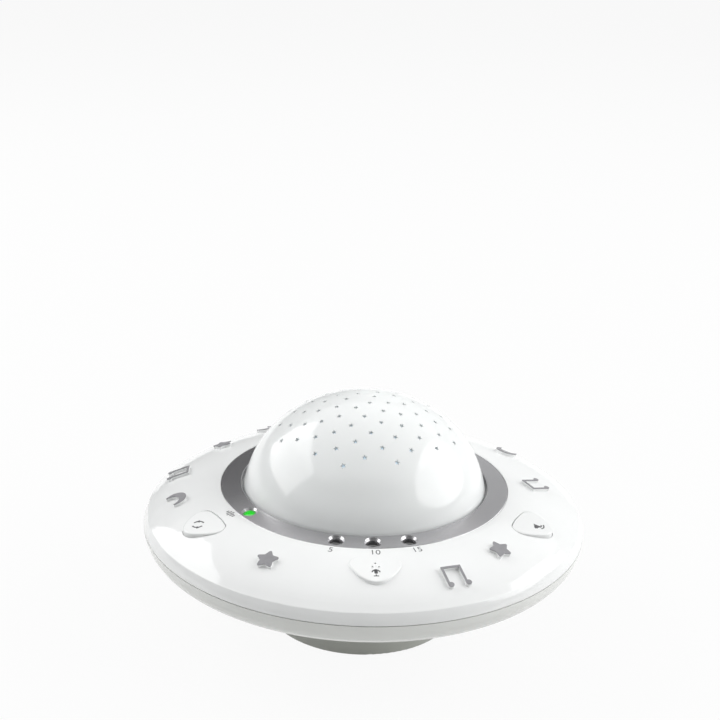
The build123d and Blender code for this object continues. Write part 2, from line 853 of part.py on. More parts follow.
def trim_ring():
    """Silver ring round the dome, with countersunk light holes and pins below."""
    top = shoulder_height
    profile = make_face(
        Polyline(
            (ring_radius, ring_seat), (ring_radius, top), (ring_bore_radius, top + ring_rise),
            (ring_bore_radius, ring_seat), close=True,
        )
    )
    profile = fillet(profile.vertices().sort_by(Axis.Y)[2:], ring_edge)
    ring = revolve(Plane.XZ * profile, Axis.Z)
    tilt = degrees(atan2(ring_rise, ring_radius - ring_bore_radius))
    for offset_angle in [status_offset] + timer_offsets:
        place = front(offset_angle, led_circle, shoulder_height + ring_rise / 2) * Rot(tilt, 0, 0)
        hole = front(offset_angle, led_circle) * rod(led_hole_radius, ring_seat - overcut, ring_cut_height)
        ring = ring - hole - place * led_sink()
    pins = []
    for offset_angle in ring_pin_offsets:
        pin = rod(ring_pin_radius, ring_seat - ring_pin_length, ring_seat + ring_thickness / 2)
        pins.append(front(offset_angle, led_circle) * pin)
    return ring + pins


def led_sink():
    """Countersink of a light hole, from the ring's surface down, run on a little above it."""
    flare = (led_sink_radius - led_hole_radius) / led_sink_depth
    top_radius = led_sink_radius + flare * led_sink_run
    cone = Cone(led_hole_radius, top_radius, led_sink_depth + led_sink_run)
    return Pos(0, 0, (led_sink_run - led_sink_depth) / 2) * cone


def dome_meridian(half_width, half_height):
    """Elliptic curve from the flange seat up to the dome's crest."""
    start = asin((flange_seat - dome_centre) / half_height)
    pull = 4 / 3 * tan((pi / 2 - start) / 4)
    foot = Vector(half_width * cos(start), dome_centre + half_height * sin(start))
    crest = Vector(0, dome_centre + half_height)
    climb = Vector(-half_width * sin(start), half_height * cos(start)) * pull
    return Bezier(foot, foot + climb, crest + Vector(half_width * pull, 0), crest)


def dome_ring(half_width, half_height, thickness):
    """Dome wall turned from its meridian, standing on the flange seat."""
    outer = dome_meridian(half_width, half_height)
    inner = dome_meridian(half_width - thickness, half_height - thickness)
    return turned(outer, inner, Line(outer @ 0, inner @ 0), Line(outer @ 1, inner @ 1))


def window_places():
    """Places of the star windows, spread over the dome's crown along a spiral of equal steps."""
    places = []
    for index in range(window_count):
        radius = window_reach * sqrt((index + 0.5) / window_count)
        lift = dome_rise * sqrt(1 - (radius / dome_radius) ** 2)
        normal = Vector(radius / dome_radius**2, 0, lift / dome_rise**2)
        tilt = degrees(atan2(normal.X, normal.Z))
        turn = index * golden_turn
        place = Rot(0, 0, turn) * Pos(radius, 0, dome_centre + lift) * Rot(0, tilt, 0)
        places.append(place * Rot(0, 0, index * window_turn))
    return places


def dome_cover():
    """White dome with its flange, pierced by star windows."""
    dome = dome_ring(dome_radius, dome_rise, dome_wall)
    flange_inner = dome_radius - dome_wall
    flange = tube(dome_flange_radius, flange_inner, flange_seat, flange_seat + dome_flange_thickness)
    star = extrude(star_face(window_radius, window_waist), amount=3 * dome_wall / 2, both=True)
    stars = [solid for place in window_places() for solid in (place * star).solids()]
    return (dome + flange) - Compound(stars)


def dome_liner():
    """Thin diffusing shell inside the dome, behind its windows."""
    return dome_ring(liner_radius, liner_rise, liner_wall)


def key(offset_angle):
    """Push key with a hollow pad, two lugs below the collar and a stem over its switch."""
    bottom = key_seat_height - key_seat_gap - key_lug_thickness
    body = soften_top(pad_prism(key_radius, bottom, -key_clearance), pad_edge_radius)
    body -= pad_prism(key_radius, bottom - overcut, -key_clearance - key_wall, key_wall)
    lug_length = pad_width + 2 * (key_lug_reach + overcut)
    lugs = Pos(0, pad_length / 4) * block(lug_length, key_lug_width, bottom, bottom + key_lug_thickness)
    inside = extrude(pad_face(-key_clearance - key_wall / 2), amount=key_lug_thickness + 2 * overcut)
    lugs -= Pos(0, 0, bottom - overcut) * inside
    stem = rod(key_stem_radius, plunger_top(), ring_cut_height) - pad_limit(key_radius, key_wall / 2)
    ribs = block(pad_width - key_wall, key_wall / 2, plunger_top() + key_wall / 2, ring_cut_height)
    ribs &= pad_prism(key_radius, bottom, -key_clearance - key_wall / 2, key_wall / 2)
    return front(offset_angle, key_radius) * (body + lugs + stem + ribs)


def plunger_top():
    """Height of a switch plunger's top at rest."""
    return key_board_top + switch_height + plunger_rise


def key_plunger(offset_angle):
    """Round plunger that stands in a switch housing and carries the key's stem."""
    bottom = key_board_top + switch_height - plunger_sink
    return front(offset_angle, key_radius) * rod(plunger_radius, bottom, plunger_top())


def switch_housing(offset_angle):
    """Square switch housing with the plunger's well."""
    housing = block(switch_size, switch_size, key_board_top, key_board_top + switch_height)
    housing = chamfer(housing.edges().filter_by(Axis.Z), switch_size / 12)
    top = key_board_top + switch_height
    well_bottom = top - plunger_sink - key_travel - plunger_clearance
    well = rod(plunger_radius + plunger_clearance, well_bottom, top + overcut)
    return front(offset_angle, key_radius) * (housing - well)


def key_board():
    """Arc-shaped board below the front of the ledge, for the keys, the lights and the microphone."""
    half = radians(key_board_half_angle)

    def on_arc(radius, angle):
        return (radius * sin(angle), -radius * cos(angle))

    outer = ThreePointArc(on_arc(key_board_outer_radius, -half), (0, -key_board_outer_radius),
                          on_arc(key_board_outer_radius, half))
    inner = ThreePointArc(on_arc(key_board_inner_radius, -half), (0, -key_board_inner_radius),
                          on_arc(key_board_inner_radius, half))
    face = make_face([outer, Line(outer @ 1, inner @ 1), inner, Line(inner @ 0, outer @ 0)])
    board = extrude(Pos(0, 0, key_board_top - board_thickness) * face, amount=board_thickness)
    cuts = []
    notch_radius = case_socket_radius + board_notch_clearance
    for offset_angle in case_offsets():
        notch = rod(notch_radius, key_board_top - 2 * board_thickness, key_board_top + overcut)
        cuts.append(front(offset_angle, case_post_circle) * notch)
    for offset_angle in board_post_offsets:
        hole = rod(small_screw_radius + shank_clearance, 0, key_board_top + overcut)
        cuts.append(front(offset_angle, board_post_circle) * hole)
    return board - cuts


def led(offset_angle):
    """Round indicator light with a domed tip, a flange and two legs."""
    bullet = rod(led_radius, led_base, led_top)
    bullet = fillet(bullet.edges().group_by(Axis.Z)[-1], led_dome_radius)
    flange = rod(led_flange_radius, led_base, led_base + led_flange_thickness)
    body = bullet + flange
    for side in (-1, 1):
        leg = block(led_leg_size, led_leg_size, key_board_top, led_base + led_flange_thickness)
        body += Pos(side * led_leg_pitch / 2, 0) * leg
    return front(offset_angle, led_circle) * body


def led_spacer(offset_angle):
    """Short collar that holds a light at its height over the board."""
    spacer = rod(led_flange_radius, key_board_top, led_base)
    window_length = led_leg_pitch + 2 * led_leg_size
    window = block(window_length, 2 * led_leg_size, key_board_top - overcut, led_base + overcut)
    return front(offset_angle, led_circle) * (spacer - window)


def mic_boot():
    """Rubber sleeve round the microphone."""
    roof = mic_roof()
    return front(0, mic_radius) * tube(mic_boot_radius, mic_capsule_radius, roof - mic_boot_height, roof)


def mic_capsule():
    """Microphone capsule with two leads down to the board."""
    top = mic_roof() - mic_air_gap
    bottom = top - mic_capsule_height
    body = rod(mic_capsule_radius, bottom, top)
    for side in (-1, 1):
        lead = rod(mic_lead_radius, key_board_top, bottom + mic_capsule_height / 2)
        body += Pos(side * led_leg_pitch / 2, 0) * lead
    return front(0, mic_radius) * body


def lamp_carrier():
    """Dish that closes the dome from below and holds the lamp at the dome's middle."""
    top = ledge_bottom
    flange_bottom = top - carrier_wall
    inner_flange = carrier_flange_radius - carrier_flange_width
    inner_floor = carrier_floor_radius - carrier_bevel
    dish = turned(
        Polyline(
            (0, carrier_floor), (carrier_floor_radius, carrier_floor), (inner_flange, flange_bottom),
            (carrier_flange_radius, flange_bottom), (carrier_flange_radius, top),
            (inner_flange - carrier_bevel, top), (inner_floor, carrier_floor_top), (0, carrier_floor_top),
            close=True,
        )
    )
    arm_length = carrier_ear_circle - inner_flange - carrier_wall
    arm = Pos(0, arm_length / 2) * block(2 * carrier_ear_radius, arm_length, flange_bottom, top)
    ear = arm + rod(carrier_ear_radius, flange_bottom, top)
    ear_hole = rod(small_screw_radius + shank_clearance, flange_bottom - overcut, top + overcut)
    for offset_angle in carrier_ear_offsets:
        place = front(offset_angle, carrier_ear_circle)
        dish += place * ear
        dish -= place * ear_hole
    post = rod(small_hole_radius + carrier_post_wall, carrier_floor, lamp_board_bottom)
    post_hole = rod(small_hole_radius, carrier_floor + post_root, lamp_board_bottom + overcut)
    for side in (-1, 1):
        place = Pos(side * lamp_screw_circle, 0)
        dish += place * post
        dish -= place * post_hole
    lead_hole = rod(carrier_lead_hole, carrier_floor - overcut, top)
    return dish - Pos(0, -lamp_board_radius - 2 * carrier_lead_hole, 0) * lead_hole


def lamp_board():
    """Round board under the lamp, with two ears for its screws."""
    bottom = lamp_board_bottom
    board = rod(lamp_board_radius, bottom, bottom + board_thickness)
    for side in (-1, 1):
        hole = rod(small_screw_radius + shank_clearance, bottom - overcut, bottom + 2 * board_thickness)
        board -= Pos(side * lamp_screw_circle, 0) * hole
    return board


def lamp_led():
    """Square lamp with a domed lens."""
    bottom = lamp_board_bottom + board_thickness
    body = block(lamp_led_size, lamp_led_size, bottom, bottom + lamp_led_height)
    body = chamfer(body.edges().filter_by(Axis.Z), lamp_led_chamfer)
    upper_half = block(lamp_led_size, lamp_led_size, 0, lamp_lens_radius)
    return body + Pos(0, 0, bottom + lamp_led_height) * (Sphere(lamp_lens_radius) & upper_half)


def lamp_hood():
    """Short tube that keeps the lamp's light on the starred part of the dome."""
    bottom = lamp_board_bottom + board_thickness
    return tube(lamp_hood_radius, lamp_hood_radius - lamp_hood_wall, bottom, bottom + lamp_hood_height)


def cell(column):
    """One battery cell, its nub towards the plate contact."""
    body = Cylinder(cell_radius, cell_length)
    body = fillet(body.edges(), cell_edge_radius)
    nub = Pos(0, 0, cell_length / 2 + cell_nub_length / 2) * Cylinder(cell_nub_radius, cell_nub_length)
    lying = Rot(-90, 0, 0) * (body + nub)
    side = cell_side(column)
    plate_face = bay_length / 2 - contact_thickness
    middle = plate_face - cell_nub_length - cell_length / 2
    lying = Pos(0, middle, 0) * lying
    if side < 0:
        lying = Rot(0, 0, 180) * lying
    return Pos(cell_x(column), 0, cell_axis_height) * lying


def cell_side(column):
    """End of the bay that a cell's nub points to."""
    return 1 if column % 2 == 0 else -1


def contact_plates():
    """Spring-steel contacts at both ends of the bay, with a solder tag on the first and last."""
    plates = []
    bottom = cell_axis_height - contact_height / 2
    top = contact_tag_height + contact_thickness
    for side in (-1, 1):
        column = 0
        while column < cell_count:
            alone = (side > 0) == (column == 0) and column in (0, cell_count - 1)
            span = 1 if alone or column == cell_count - 1 else 2
            middle = (cell_x(column) + cell_x(column + span - 1)) / 2
            width = contact_width + (span - 1) * (2 * cell_radius + cell_gap)
            place = Pos(middle, side * (bay_length / 2 - contact_thickness / 2), 0)
            plates.append(place * block(width, contact_thickness, bottom, top))
            column += span
    for side, column in ((1, 0), (-1, cell_count - 1)):
        reach = bay_wall + contact_tag_reach
        tag = block(contact_tag_width, reach, contact_tag_height, top)
        place = Pos(cell_x(column), side * (bay_length / 2 + reach / 2), 0)
        plates.append(place * tag)
    return joined(plates).solids()


def battery_spring(column):
    """Conical coil that presses a cell's flat end, on the contact behind it."""
    points = []
    steps = spring_turns * spring_steps
    for step in range(steps + 1):
        share = step / steps
        reach = spring_base_radius + (spring_tip_radius - spring_base_radius) * share
        angle = 2 * pi * spring_turns * share
        points.append((reach * cos(angle), reach * sin(angle), (spring_length - spring_wire) * share))
    path = Spline(*points)
    section = Plane(origin=path @ 0, z_dir=path % 0) * Circle(spring_wire / 2)
    coil = Pos(0, 0, spring_wire / 2) * sweep(section, path)
    side = -cell_side(column)
    lying = Pos(0, side * (bay_length / 2 - contact_thickness), 0) * Rot(90 * side, 0, 0) * coil
    return Pos(cell_x(column), 0, cell_axis_height) * lying


def battery_door():
    """Flat door under the bay, with countersunk screw ears and grip ridges."""
    door = extrude(Pos(0, 0, foot_base) * door_plan(), amount=door_thickness)
    hole_radius = case_screw_radius + shank_clearance
    hole = rod(hole_radius, foot_base - overcut, foot_base + door_thickness + overcut)
    sink_depth = door_screw_head_depth + door_sink_clearance
    sink = Cone(door_screw_head_radius + door_sink_clearance, hole_radius, sink_depth)
    for place in door_post_places():
        door -= place * hole
        door -= place * Pos(0, 0, foot_base + sink_depth / 2) * sink
    groove = Pos(0, 0, foot_base) * Box(door_width / 2, door_grip_depth * 2, door_grip_depth * 2)
    for index in range(door_grip_count):
        door -= Pos(0, door_length / 2 - door_grip_inset - index * door_grip_pitch) * groove
    return door


def door_screw(place):
    """Countersunk screw that stays in the battery door."""
    shank = rod(case_screw_radius, foot_base + door_screw_head_depth / 2, foot_base + door_screw_length)
    shank = chamfer(shank.edges().group_by(Axis.Z)[-1], case_screw_radius * tip_share)
    head = Cone(door_screw_head_radius, case_screw_radius, door_screw_head_depth)
    head = Pos(0, 0, foot_base + door_screw_head_depth / 2) * head
    slot = Box(door_screw_head_radius * slot_length_share, door_slot_width, door_slot_depth)
    slot = Pos(0, 0, foot_base) * slot
    return place * (shank + head - (slot + Rot(0, 0, 90) * slot))


def rubber_feet():
    """Four rubber pads let into the foot."""
    pad = rod(feet_radius, 0, feet_height)
    pad = chamfer(pad.edges().group_by(Axis.Z)[0], feet_edge)
    return [place * pad for place in feet_places()]


def main_board():
    """Rectangular main board on its four posts, above the battery bay."""
    plan = RectangleRounded(main_board_width, main_board_length, main_board_corner)
    board = extrude(Pos(0, 0, main_board_height) * plan, amount=board_thickness)
    top = main_board_height + board_thickness
    hole = rod(small_screw_radius + shank_clearance, main_board_height - overcut, top + overcut)
    for place in main_post_places():
        board -= place * hole
    return board


def board_parts():
    """Chips, capacitors and plug sockets on the main board."""
    base = main_board_height + board_thickness
    parts = []
    for x, y, width, length, height in chip_plans:
        parts.append(Pos(x, y) * block(width, length, base, base + height))
    for x, y in can_plans:
        can = Pos(x, y) * rod(can_radius, base, base + can_height)
        parts.append(fillet(can.edges().group_by(Axis.Z)[-1], can_edge_radius))
    return parts


def speaker_frame():
    """Pressed basket and rim of the loudspeaker, with its magnet."""
    bottom = speaker_seat_rise
    rim_top = bottom + speaker_rim_thickness
    top = bottom + speaker_height
    inner = speaker_cone_radius + speaker_cone_gap
    basket = turned(
        Polyline(
            (speaker_radius, bottom), (speaker_radius, rim_top),
            (speaker_basket_radius + speaker_flare, rim_top),
            (speaker_magnet_radius + speaker_magnet_ledge, top), (0, top), (0, top - speaker_metal),
            (speaker_magnet_radius, top - speaker_metal), (inner, rim_top), (inner, bottom), close=True,
        )
    )
    return underside_place(180, speaker_circle) * basket


def speaker_magnet():
    """Round magnet on the back of the basket."""
    bottom = speaker_seat_rise + speaker_height
    magnet = rod(speaker_magnet_radius, bottom, bottom + speaker_magnet_depth)
    magnet = fillet(magnet.edges(), speaker_magnet_edge)
    return underside_place(180, speaker_circle) * magnet


def speaker_cone():
    """Paper cone with its roll edge and dust cap, inside the basket."""
    lower = speaker_seat_rise + speaker_roll_lift
    upper = lower + speaker_paper
    outer = speaker_cone_radius + speaker_cone_roll
    inner = speaker_cone_radius - speaker_roll_width
    crown = speaker_seat_rise + speaker_height - speaker_cap_sink
    cone = turned(
        Polyline(
            (outer, lower), (outer, upper), (inner, upper), (speaker_cap_radius, crown), (0, crown),
            (0, crown - speaker_paper), (speaker_cap_radius - speaker_paper / 2, crown - speaker_paper),
            (inner - speaker_paper, lower), close=True,
        )
    )
    return underside_place(180, speaker_circle) * cone


def speaker_screws():
    """Washer-head screws that clamp the loudspeaker's rim."""
    top = speaker_seat_rise + speaker_rim_thickness
    fastener = screw(small_screw_radius, speaker_screw_length, small_head_radius, small_head_height)
    fastener = Rot(180, 0, 0) * fastener
    washer = rod(speaker_washer_radius, 0, speaker_washer_thickness)
    fastener = Pos(0, 0, speaker_washer_thickness) * fastener + washer
    return [place * Pos(0, 0, top) * fastener for place in speaker_post_places()]


def slider_place(rise=0.0):
    """Place of the power switch, whose X runs round the case."""
    return underside_place(slider_offset, slider_circle, slider_seat_rise + rise)


def slide_switch():
    """Housing of the power switch, open towards the slot."""
    housing = block(slider_length, slider_width, 0, slider_depth)
    room_length = slider_knob_length + slider_travel + 2 * (slider_foot_reach + slider_clearance)
    room = block(room_length, slider_width - 2 * slider_wall, -overcut, slider_depth - slider_wall)
    return slider_place() * (housing - room)


def slide_knob():
    """Knob of the power switch, at its ON end, reaching out through the slot."""
    top = slider_clearance + slider_foot_thickness
    foot_length = slider_knob_length + 2 * slider_foot_reach
    foot_width = slider_width - 2 * (slider_wall + slider_clearance)
    foot = block(foot_length, foot_width, slider_clearance, top)
    reach = wall + slider_seat_rise + slider_knob_proud
    stem = block(slider_knob_length, slider_knob_width, -reach, top)
    stem = fillet(stem.edges().group_by(Axis.Z)[0], slider_knob_edge)
    return slider_place() * Pos(slider_travel / 2, 0, 0) * (foot + stem)


def wire(points, bend_radius=lead_bend_radius):
    """Insulated wire along straight runs with rounded corners."""
    path = FilletPolyline(*points, radius=bend_radius)
    section = Plane(origin=path @ 0, z_dir=path % 0) * Circle(lead_radius)
    return sweep(section, path)


def battery_leads():
    """Wires from the contact tags up to the main board."""
    leads = []
    start = contact_tag_height + contact_thickness
    reach = bay_length / 2 + bay_wall + contact_tag_reach - lead_radius - 2 * slot_clearance
    end = main_board_height + board_thickness
    top = end + battery_lead_rise
    for side, column in ((1, 0), (-1, cell_count - 1)):
        x = cell_x(column)
        y = side * reach
        inner_y = side * (main_board_length / 2 - 2 * lead_pitch)
        points = [(x, y, start), (x, y, top), (x, inner_y, top), (x, inner_y, end)]
        leads.append(wire(points, battery_lead_bend))
    return leads


def lamp_leads():
    """Pair of wires from the main board up through the carrier to the lamp board."""
    leads = []
    start = main_board_height + board_thickness
    end = lamp_board_bottom + board_thickness
    rise = carrier_floor_top + board_thickness + lamp_lead_rise
    hole_y = -lamp_board_radius - 2 * carrier_lead_hole
    end_y = -lamp_board_radius + lead_pitch
    for side in (-1, 1):
        x = side * lead_pitch / 2
        points = [(x, hole_y, start), (x, hole_y, rise), (x, end_y, rise), (x, end_y, end)]
        leads.append(wire(points, lamp_lead_bend))
    return leads


def key_leads():
    """Row of wires from the main board's front edge up to the key board."""
    leads = []
    start = main_board_height + board_thickness
    end = key_board_top - board_thickness
    rise = start + key_lead_rise
    near_y = -key_lead_y
    far_y = -(key_board_inner_radius + 3 * lead_pitch)
    for index in range(key_lead_count):
        x = (index - (key_lead_count - 1) / 2) * lead_pitch
        leads.append(wire([(x, near_y, start), (x, near_y, rise), (x, far_y, rise), (x, far_y, end)]))
    return leads


def speaker_leads():
    """Pair of wires from the main board back to the loudspeaker's basket."""
    leads = []
    start = main_board_height + board_thickness
    rise = start + speaker_lead_rise
    place = underside_place(180, speaker_circle)
    for side in (-1, 1):
        end = (place * Pos(side * lead_pitch, speaker_lead_reach, speaker_lead_height)).position
        far_y = end.Y - 3 * lead_pitch
        points = [(end.X, speaker_lead_y, start), (end.X, speaker_lead_y, rise), (end.X, far_y, rise),
                  (end.X, end.Y, end.Z)]
        leads.append(wire(points, speaker_lead_bend))
    return leads


star_plan = star_face(star_radius, star_waist, star_point_radius, star_notch_radius)
cap_top = ornament_height + cap_thickness

save("upper_shell", [upper_shell()])
save("lower_shell", [lower_shell()])
save("trim_ring", [trim_ring()])
save("dome_cover", [dome_cover()])
save("dome_liner", [dome_liner()])

save("star_caps", ornaments(star_plan, star_places, ornament_height, cap_top))
save("note_caps", ornaments(note_face(), note_places, ornament_height, cap_top))
save("moon_caps", ornaments(moon_face(), moon_places, ornament_height, cap_top))

for name, angle in (("mode", mode_offset), ("volume", volume_offset)):
    save(f"{name}_key", [key(angle)])
    save(f"{name}_plunger", [key_plunger(angle)])
save("key_switches", [switch_housing(angle) for angle in (mode_offset, volume_offset)])
save("key_board", [key_board()])
save("status_led", [led(status_offset)])
save("timer_leds", [led(angle) for angle in timer_offsets])
save("led_spacers", [led_spacer(angle) for angle in [status_offset] + timer_offsets])
save("mic_boot", [mic_boot()])
save("mic_capsule", [mic_capsule()])

save("lamp_carrier", [lamp_carrier()])
save("lamp_board", [lamp_board()])
save("lamp_led", [lamp_led()])
save("lamp_hood", [lamp_hood()])

save("battery_cells", [cell(column) for column in range(cell_count)])
save("battery_contacts", contact_plates())
save("battery_springs", [battery_spring(column) for column in range(cell_count)])
save("battery_door", [battery_door()])
save("battery_door_screws", [door_screw(place) for place in door_post_places()])
save("rubber_feet", rubber_feet())

save("main_board", [main_board()])
save("board_parts", board_parts())
save("speaker_frame", [speaker_frame()])
save("speaker_magnet", [speaker_magnet()])
save("speaker_cone", [speaker_cone()])
save("speaker_screws", speaker_screws())
save("slide_switch", [slide_switch()])
save("slide_knob", [slide_knob()])

case_screw = screw(case_screw_radius, case_screw_length, case_head_radius, case_head_height)
case_screw = Pos(0, 0, parting_height - case_web) * case_screw
save("case_screws", [front(angle, case_post_circle) * case_screw for angle in case_offsets()])

carrier_screw = screw(small_screw_radius, carrier_screw_length, small_head_radius, small_head_height)
carrier_screw = Pos(0, 0, ledge_bottom - carrier_wall) * carrier_screw
save("carrier_screws", [front(angle, carrier_ear_circle) * carrier_screw for angle in carrier_ear_offsets])

key_board_screw = screw(small_screw_radius, key_board_screw_length, small_head_radius, small_head_height)
key_board_screw = Pos(0, 0, key_board_top - board_thickness) * key_board_screw
save("key_board_screws", [front(angle, board_post_circle) * key_board_screw for angle in board_post_offsets])

main_screw = screw(small_screw_radius, main_screw_length, small_head_radius, small_head_height)
main_screw = Pos(0, 0, main_board_height + board_thickness) * Rot(180, 0, 0) * main_screw
save("main_board_screws", [place * main_screw for place in main_post_places()])

lamp_screw = screw(lamp_screw_radius, lamp_screw_length, lamp_head_radius, small_head_height)
lamp_screw = Pos(0, 0, lamp_board_bottom + board_thickness) * Rot(180, 0, 0) * lamp_screw
save("lamp_screws", [Pos(side * lamp_screw_circle, 0) * lamp_screw for side in (-1, 1)])

save("battery_leads", battery_leads())
save("lamp_leads", lamp_leads())
save("key_leads", key_leads())
save("speaker_leads", speaker_leads())
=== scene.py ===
"""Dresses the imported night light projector: a finish for every piece, its printed marks, and the studio."""

import logging
import math
from dataclasses import dataclass
from enum import Enum
from typing import Any, ClassVar, Optional, Sequence, Union

import bpy
from mathutils import Matrix, Vector


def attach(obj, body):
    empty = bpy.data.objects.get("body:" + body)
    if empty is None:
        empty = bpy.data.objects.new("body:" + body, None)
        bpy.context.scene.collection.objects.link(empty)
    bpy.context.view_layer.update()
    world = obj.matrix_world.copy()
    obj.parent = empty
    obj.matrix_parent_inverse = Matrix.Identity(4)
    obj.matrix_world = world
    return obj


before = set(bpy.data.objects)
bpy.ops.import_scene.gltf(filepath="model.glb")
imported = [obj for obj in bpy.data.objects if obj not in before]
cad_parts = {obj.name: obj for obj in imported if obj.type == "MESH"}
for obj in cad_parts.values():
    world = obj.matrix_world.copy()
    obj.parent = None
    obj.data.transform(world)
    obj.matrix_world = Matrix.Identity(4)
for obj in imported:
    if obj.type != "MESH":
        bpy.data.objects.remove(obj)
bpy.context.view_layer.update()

log = logging.getLogger("night_light")

MM = 0.001

HALF = 0.5

Pair = tuple[float, float]
Triple = tuple[float, float, float]
Colour = Triple
Number = Union[float, "Reading"]


class Reading:
    """A number on a shader socket that takes part in plain arithmetic."""

    def __init__(self, graph: "Graph", socket: bpy.types.NodeSocket) -> None:
        """Wraps one output socket.

        Args:
            graph: The node graph that the socket belongs to.
            socket: The output socket that carries the number.
        """
        self.graph = graph
        self.socket = socket

    def _result(self, operation: str, *values: Number) -> "Reading":
        """The result of a Math node over the given values."""
        return self.graph.maths(operation, *values)

    def __add__(self, other: Number) -> "Reading":
        """Sum."""
        return self._result("ADD", self, other)

    def __radd__(self, other: Number) -> "Reading":
        """Sum with the number first."""
        return self._result("ADD", other, self)

    def __sub__(self, other: Number) -> "Reading":
        """Difference."""
        return self._result("SUBTRACT", self, other)

    def __rsub__(self, other: Number) -> "Reading":
        """Difference with the number first."""
        return self._result("SUBTRACT", other, self)

    def __mul__(self, other: Number) -> "Reading":
        """Product."""
        return self._result("MULTIPLY", self, other)

    def __rmul__(self, other: Number) -> "Reading":
        """Product with the number first."""
        return self._result("MULTIPLY", other, self)

    def __truediv__(self, other: Number) -> "Reading":
        """Quotient."""
        return self._result("DIVIDE", self, other)

    def __rtruediv__(self, other: Number) -> "Reading":
        """Quotient with the number first."""
        return self._result("DIVIDE", other, self)

    def above(self, edge: Number) -> "Reading":
        """1 where the reading is over an edge, else 0."""
        return self._result("GREATER_THAN", self, edge)

    def centred(self) -> "Reading":
        """A noise about 0 instead of about one half."""
        return self - HALF

    def ramp(self, low: float, high: float) -> "Reading":
        """The reading stretched so that low becomes 0 and high becomes 1, held between them.

        Args:
            low: Reading that becomes 0.
            high: Reading that becomes 1.

        Returns:
            The stretched reading.
        """
        node = self.graph.node(
            "ShaderNodeMapRange",
            {"clamp": True, "interpolation_type": "SMOOTHSTEP"},
            {"Value": self, "From Min": low, "From Max": high, "To Min": 0.0, "To Max": 1.0},
        )
        return Reading(self.graph, node.outputs["Result"])


class Graph:
    """A node tree, filled through one method for any node and a few for common ones."""

    def __init__(self, tree: bpy.types.NodeTree, place: str = "Object") -> None:
        """Starts an empty tree.

        Args:
            tree: The tree to fill.
            place: Which texture coordinate its patterns follow.
        """
        self.tree = tree
        self.tree.nodes.clear()
        self.place = self.node("ShaderNodeTexCoord").outputs[place]

    def node(
        self,
        kind: str,
        settings: Optional[dict[str, Any]] = None,
        sockets: Optional[dict[Union[str, int], Any]] = None,
    ) -> bpy.types.Node:
        """Adds any node.

        Args:
            kind: The node's type.
            settings: Its own settings, set first.
            sockets: Values or links for its inputs, by name or number.

        Returns:
            The new node.
        """
        made = self.tree.nodes.new(kind)
        for key, value in (settings or {}).items():
            setattr(made, key, value)
        for key, value in (sockets or {}).items():
            self.feed(made.inputs[key], value)
        return made

    def feed(self, target: bpy.types.NodeSocket, value: Any) -> None:
        """Links or sets one input socket.

        Args:
            target: The input socket.
            value: A reading, an output socket, a number, or a colour or vector of three numbers.
        """
        if isinstance(value, Reading):
            self.tree.links.new(value.socket, target)
        elif isinstance(value, bpy.types.NodeSocket):
            self.tree.links.new(value, target)
        elif isinstance(value, (tuple, list)) and len(value) < len(target.default_value):
            target.default_value = (*value, 1.0)
        else:
            target.default_value = value

    def maths(self, operation: str, *values: Number) -> Reading:
        """A Math node over up to three values.

        Args:
            operation: The Math node's operation.
            values: Readings or numbers, in the node's order.

        Returns:
            Its result.
        """
        made = self.node("ShaderNodeMath", {"operation": operation}, dict(enumerate(values)))
        return Reading(self, made.outputs[0])

    def axis(self, name: str) -> Reading:
        """One coordinate of the place on the piece, in metres."""
        return Reading(self, self.node("ShaderNodeSeparateXYZ", None, {0: self.place}).outputs[name])

    def reach(self) -> Reading:
        """Distance from the upright middle axis, in metres."""
        x, y = self.axis("X"), self.axis("Y")
        return self.maths("SQRT", x * x + y * y)

    def stretched(self, scale: Triple, turn: Triple = (0.0, 0.0, 0.0)) -> bpy.types.NodeSocket:
        """The place on the piece, scaled and turned.

        Args:
            scale: Factor along each axis.
            turn: Angles about each axis, in radians.

        Returns:
            The vector socket.
        """
        made = self.node("ShaderNodeMapping", None, {"Vector": self.place, "Scale": scale, "Rotation": turn})
        return made.outputs[0]

    def noise(
        self, size: float, detail: float = 2.0, vector: Optional[bpy.types.NodeSocket] = None
    ) -> Reading:
        """Soft noise with features of about one size.

        Args:
            size: Feature size in metres, or in the vector's own unit.
            detail: Octaves of finer noise.
            vector: Where it is read; the place on the piece unless given.

        Returns:
            The noise, around one half.
        """
        sockets = {"Vector": vector or self.place, "Scale": 1.0 / size, "Detail": detail}
        return Reading(self, self.node("ShaderNodeTexNoise", None, sockets).outputs[0])

    def cloud(self, size: float, detail: float = 3.0) -> Reading:
        """Soft patches of about one size, from 0 to 1."""
        return self.noise(size, detail).ramp(0.3, 0.7)

    def fibres(self, detail: float, scale: Triple, turn: Triple = (0.0, 0.0, 0.0)) -> Reading:
        """Noise drawn out into lines: its scale is the number of features in a metre along each axis."""
        return self.noise(1.0, detail, self.stretched(scale, turn))

    def cells(self, size: float, output: str = "Distance") -> bpy.types.NodeSocket:
        """Voronoi cells of about one size.

        Args:
            size: Cell size in metres.
            output: Name of the socket that is wanted.

        Returns:
            The output socket.
        """
        made = self.node("ShaderNodeTexVoronoi", None, {"Vector": self.place, "Scale": 1.0 / size})
        return made.outputs[output]

    def blend(self, share: Number, first: Any, second: Any) -> bpy.types.NodeSocket:
        """Mixes two colours.

        Args:
            share: 0 for the first colour, 1 for the second.
            first: Colour or colour socket.
            second: Colour or colour socket.

        Returns:
            The mixed colour.
        """
        made = self.node("ShaderNodeMix", {"data_type": "RGBA", "clamp_factor": True})
        wanted = {"Factor_Float": share, "A_Color": first, "B_Color": second}
        for socket in made.inputs:
            if socket.identifier in wanted:
                self.feed(socket, wanted[socket.identifier])
        return next(s for s in made.outputs if s.identifier == "Result_Color")


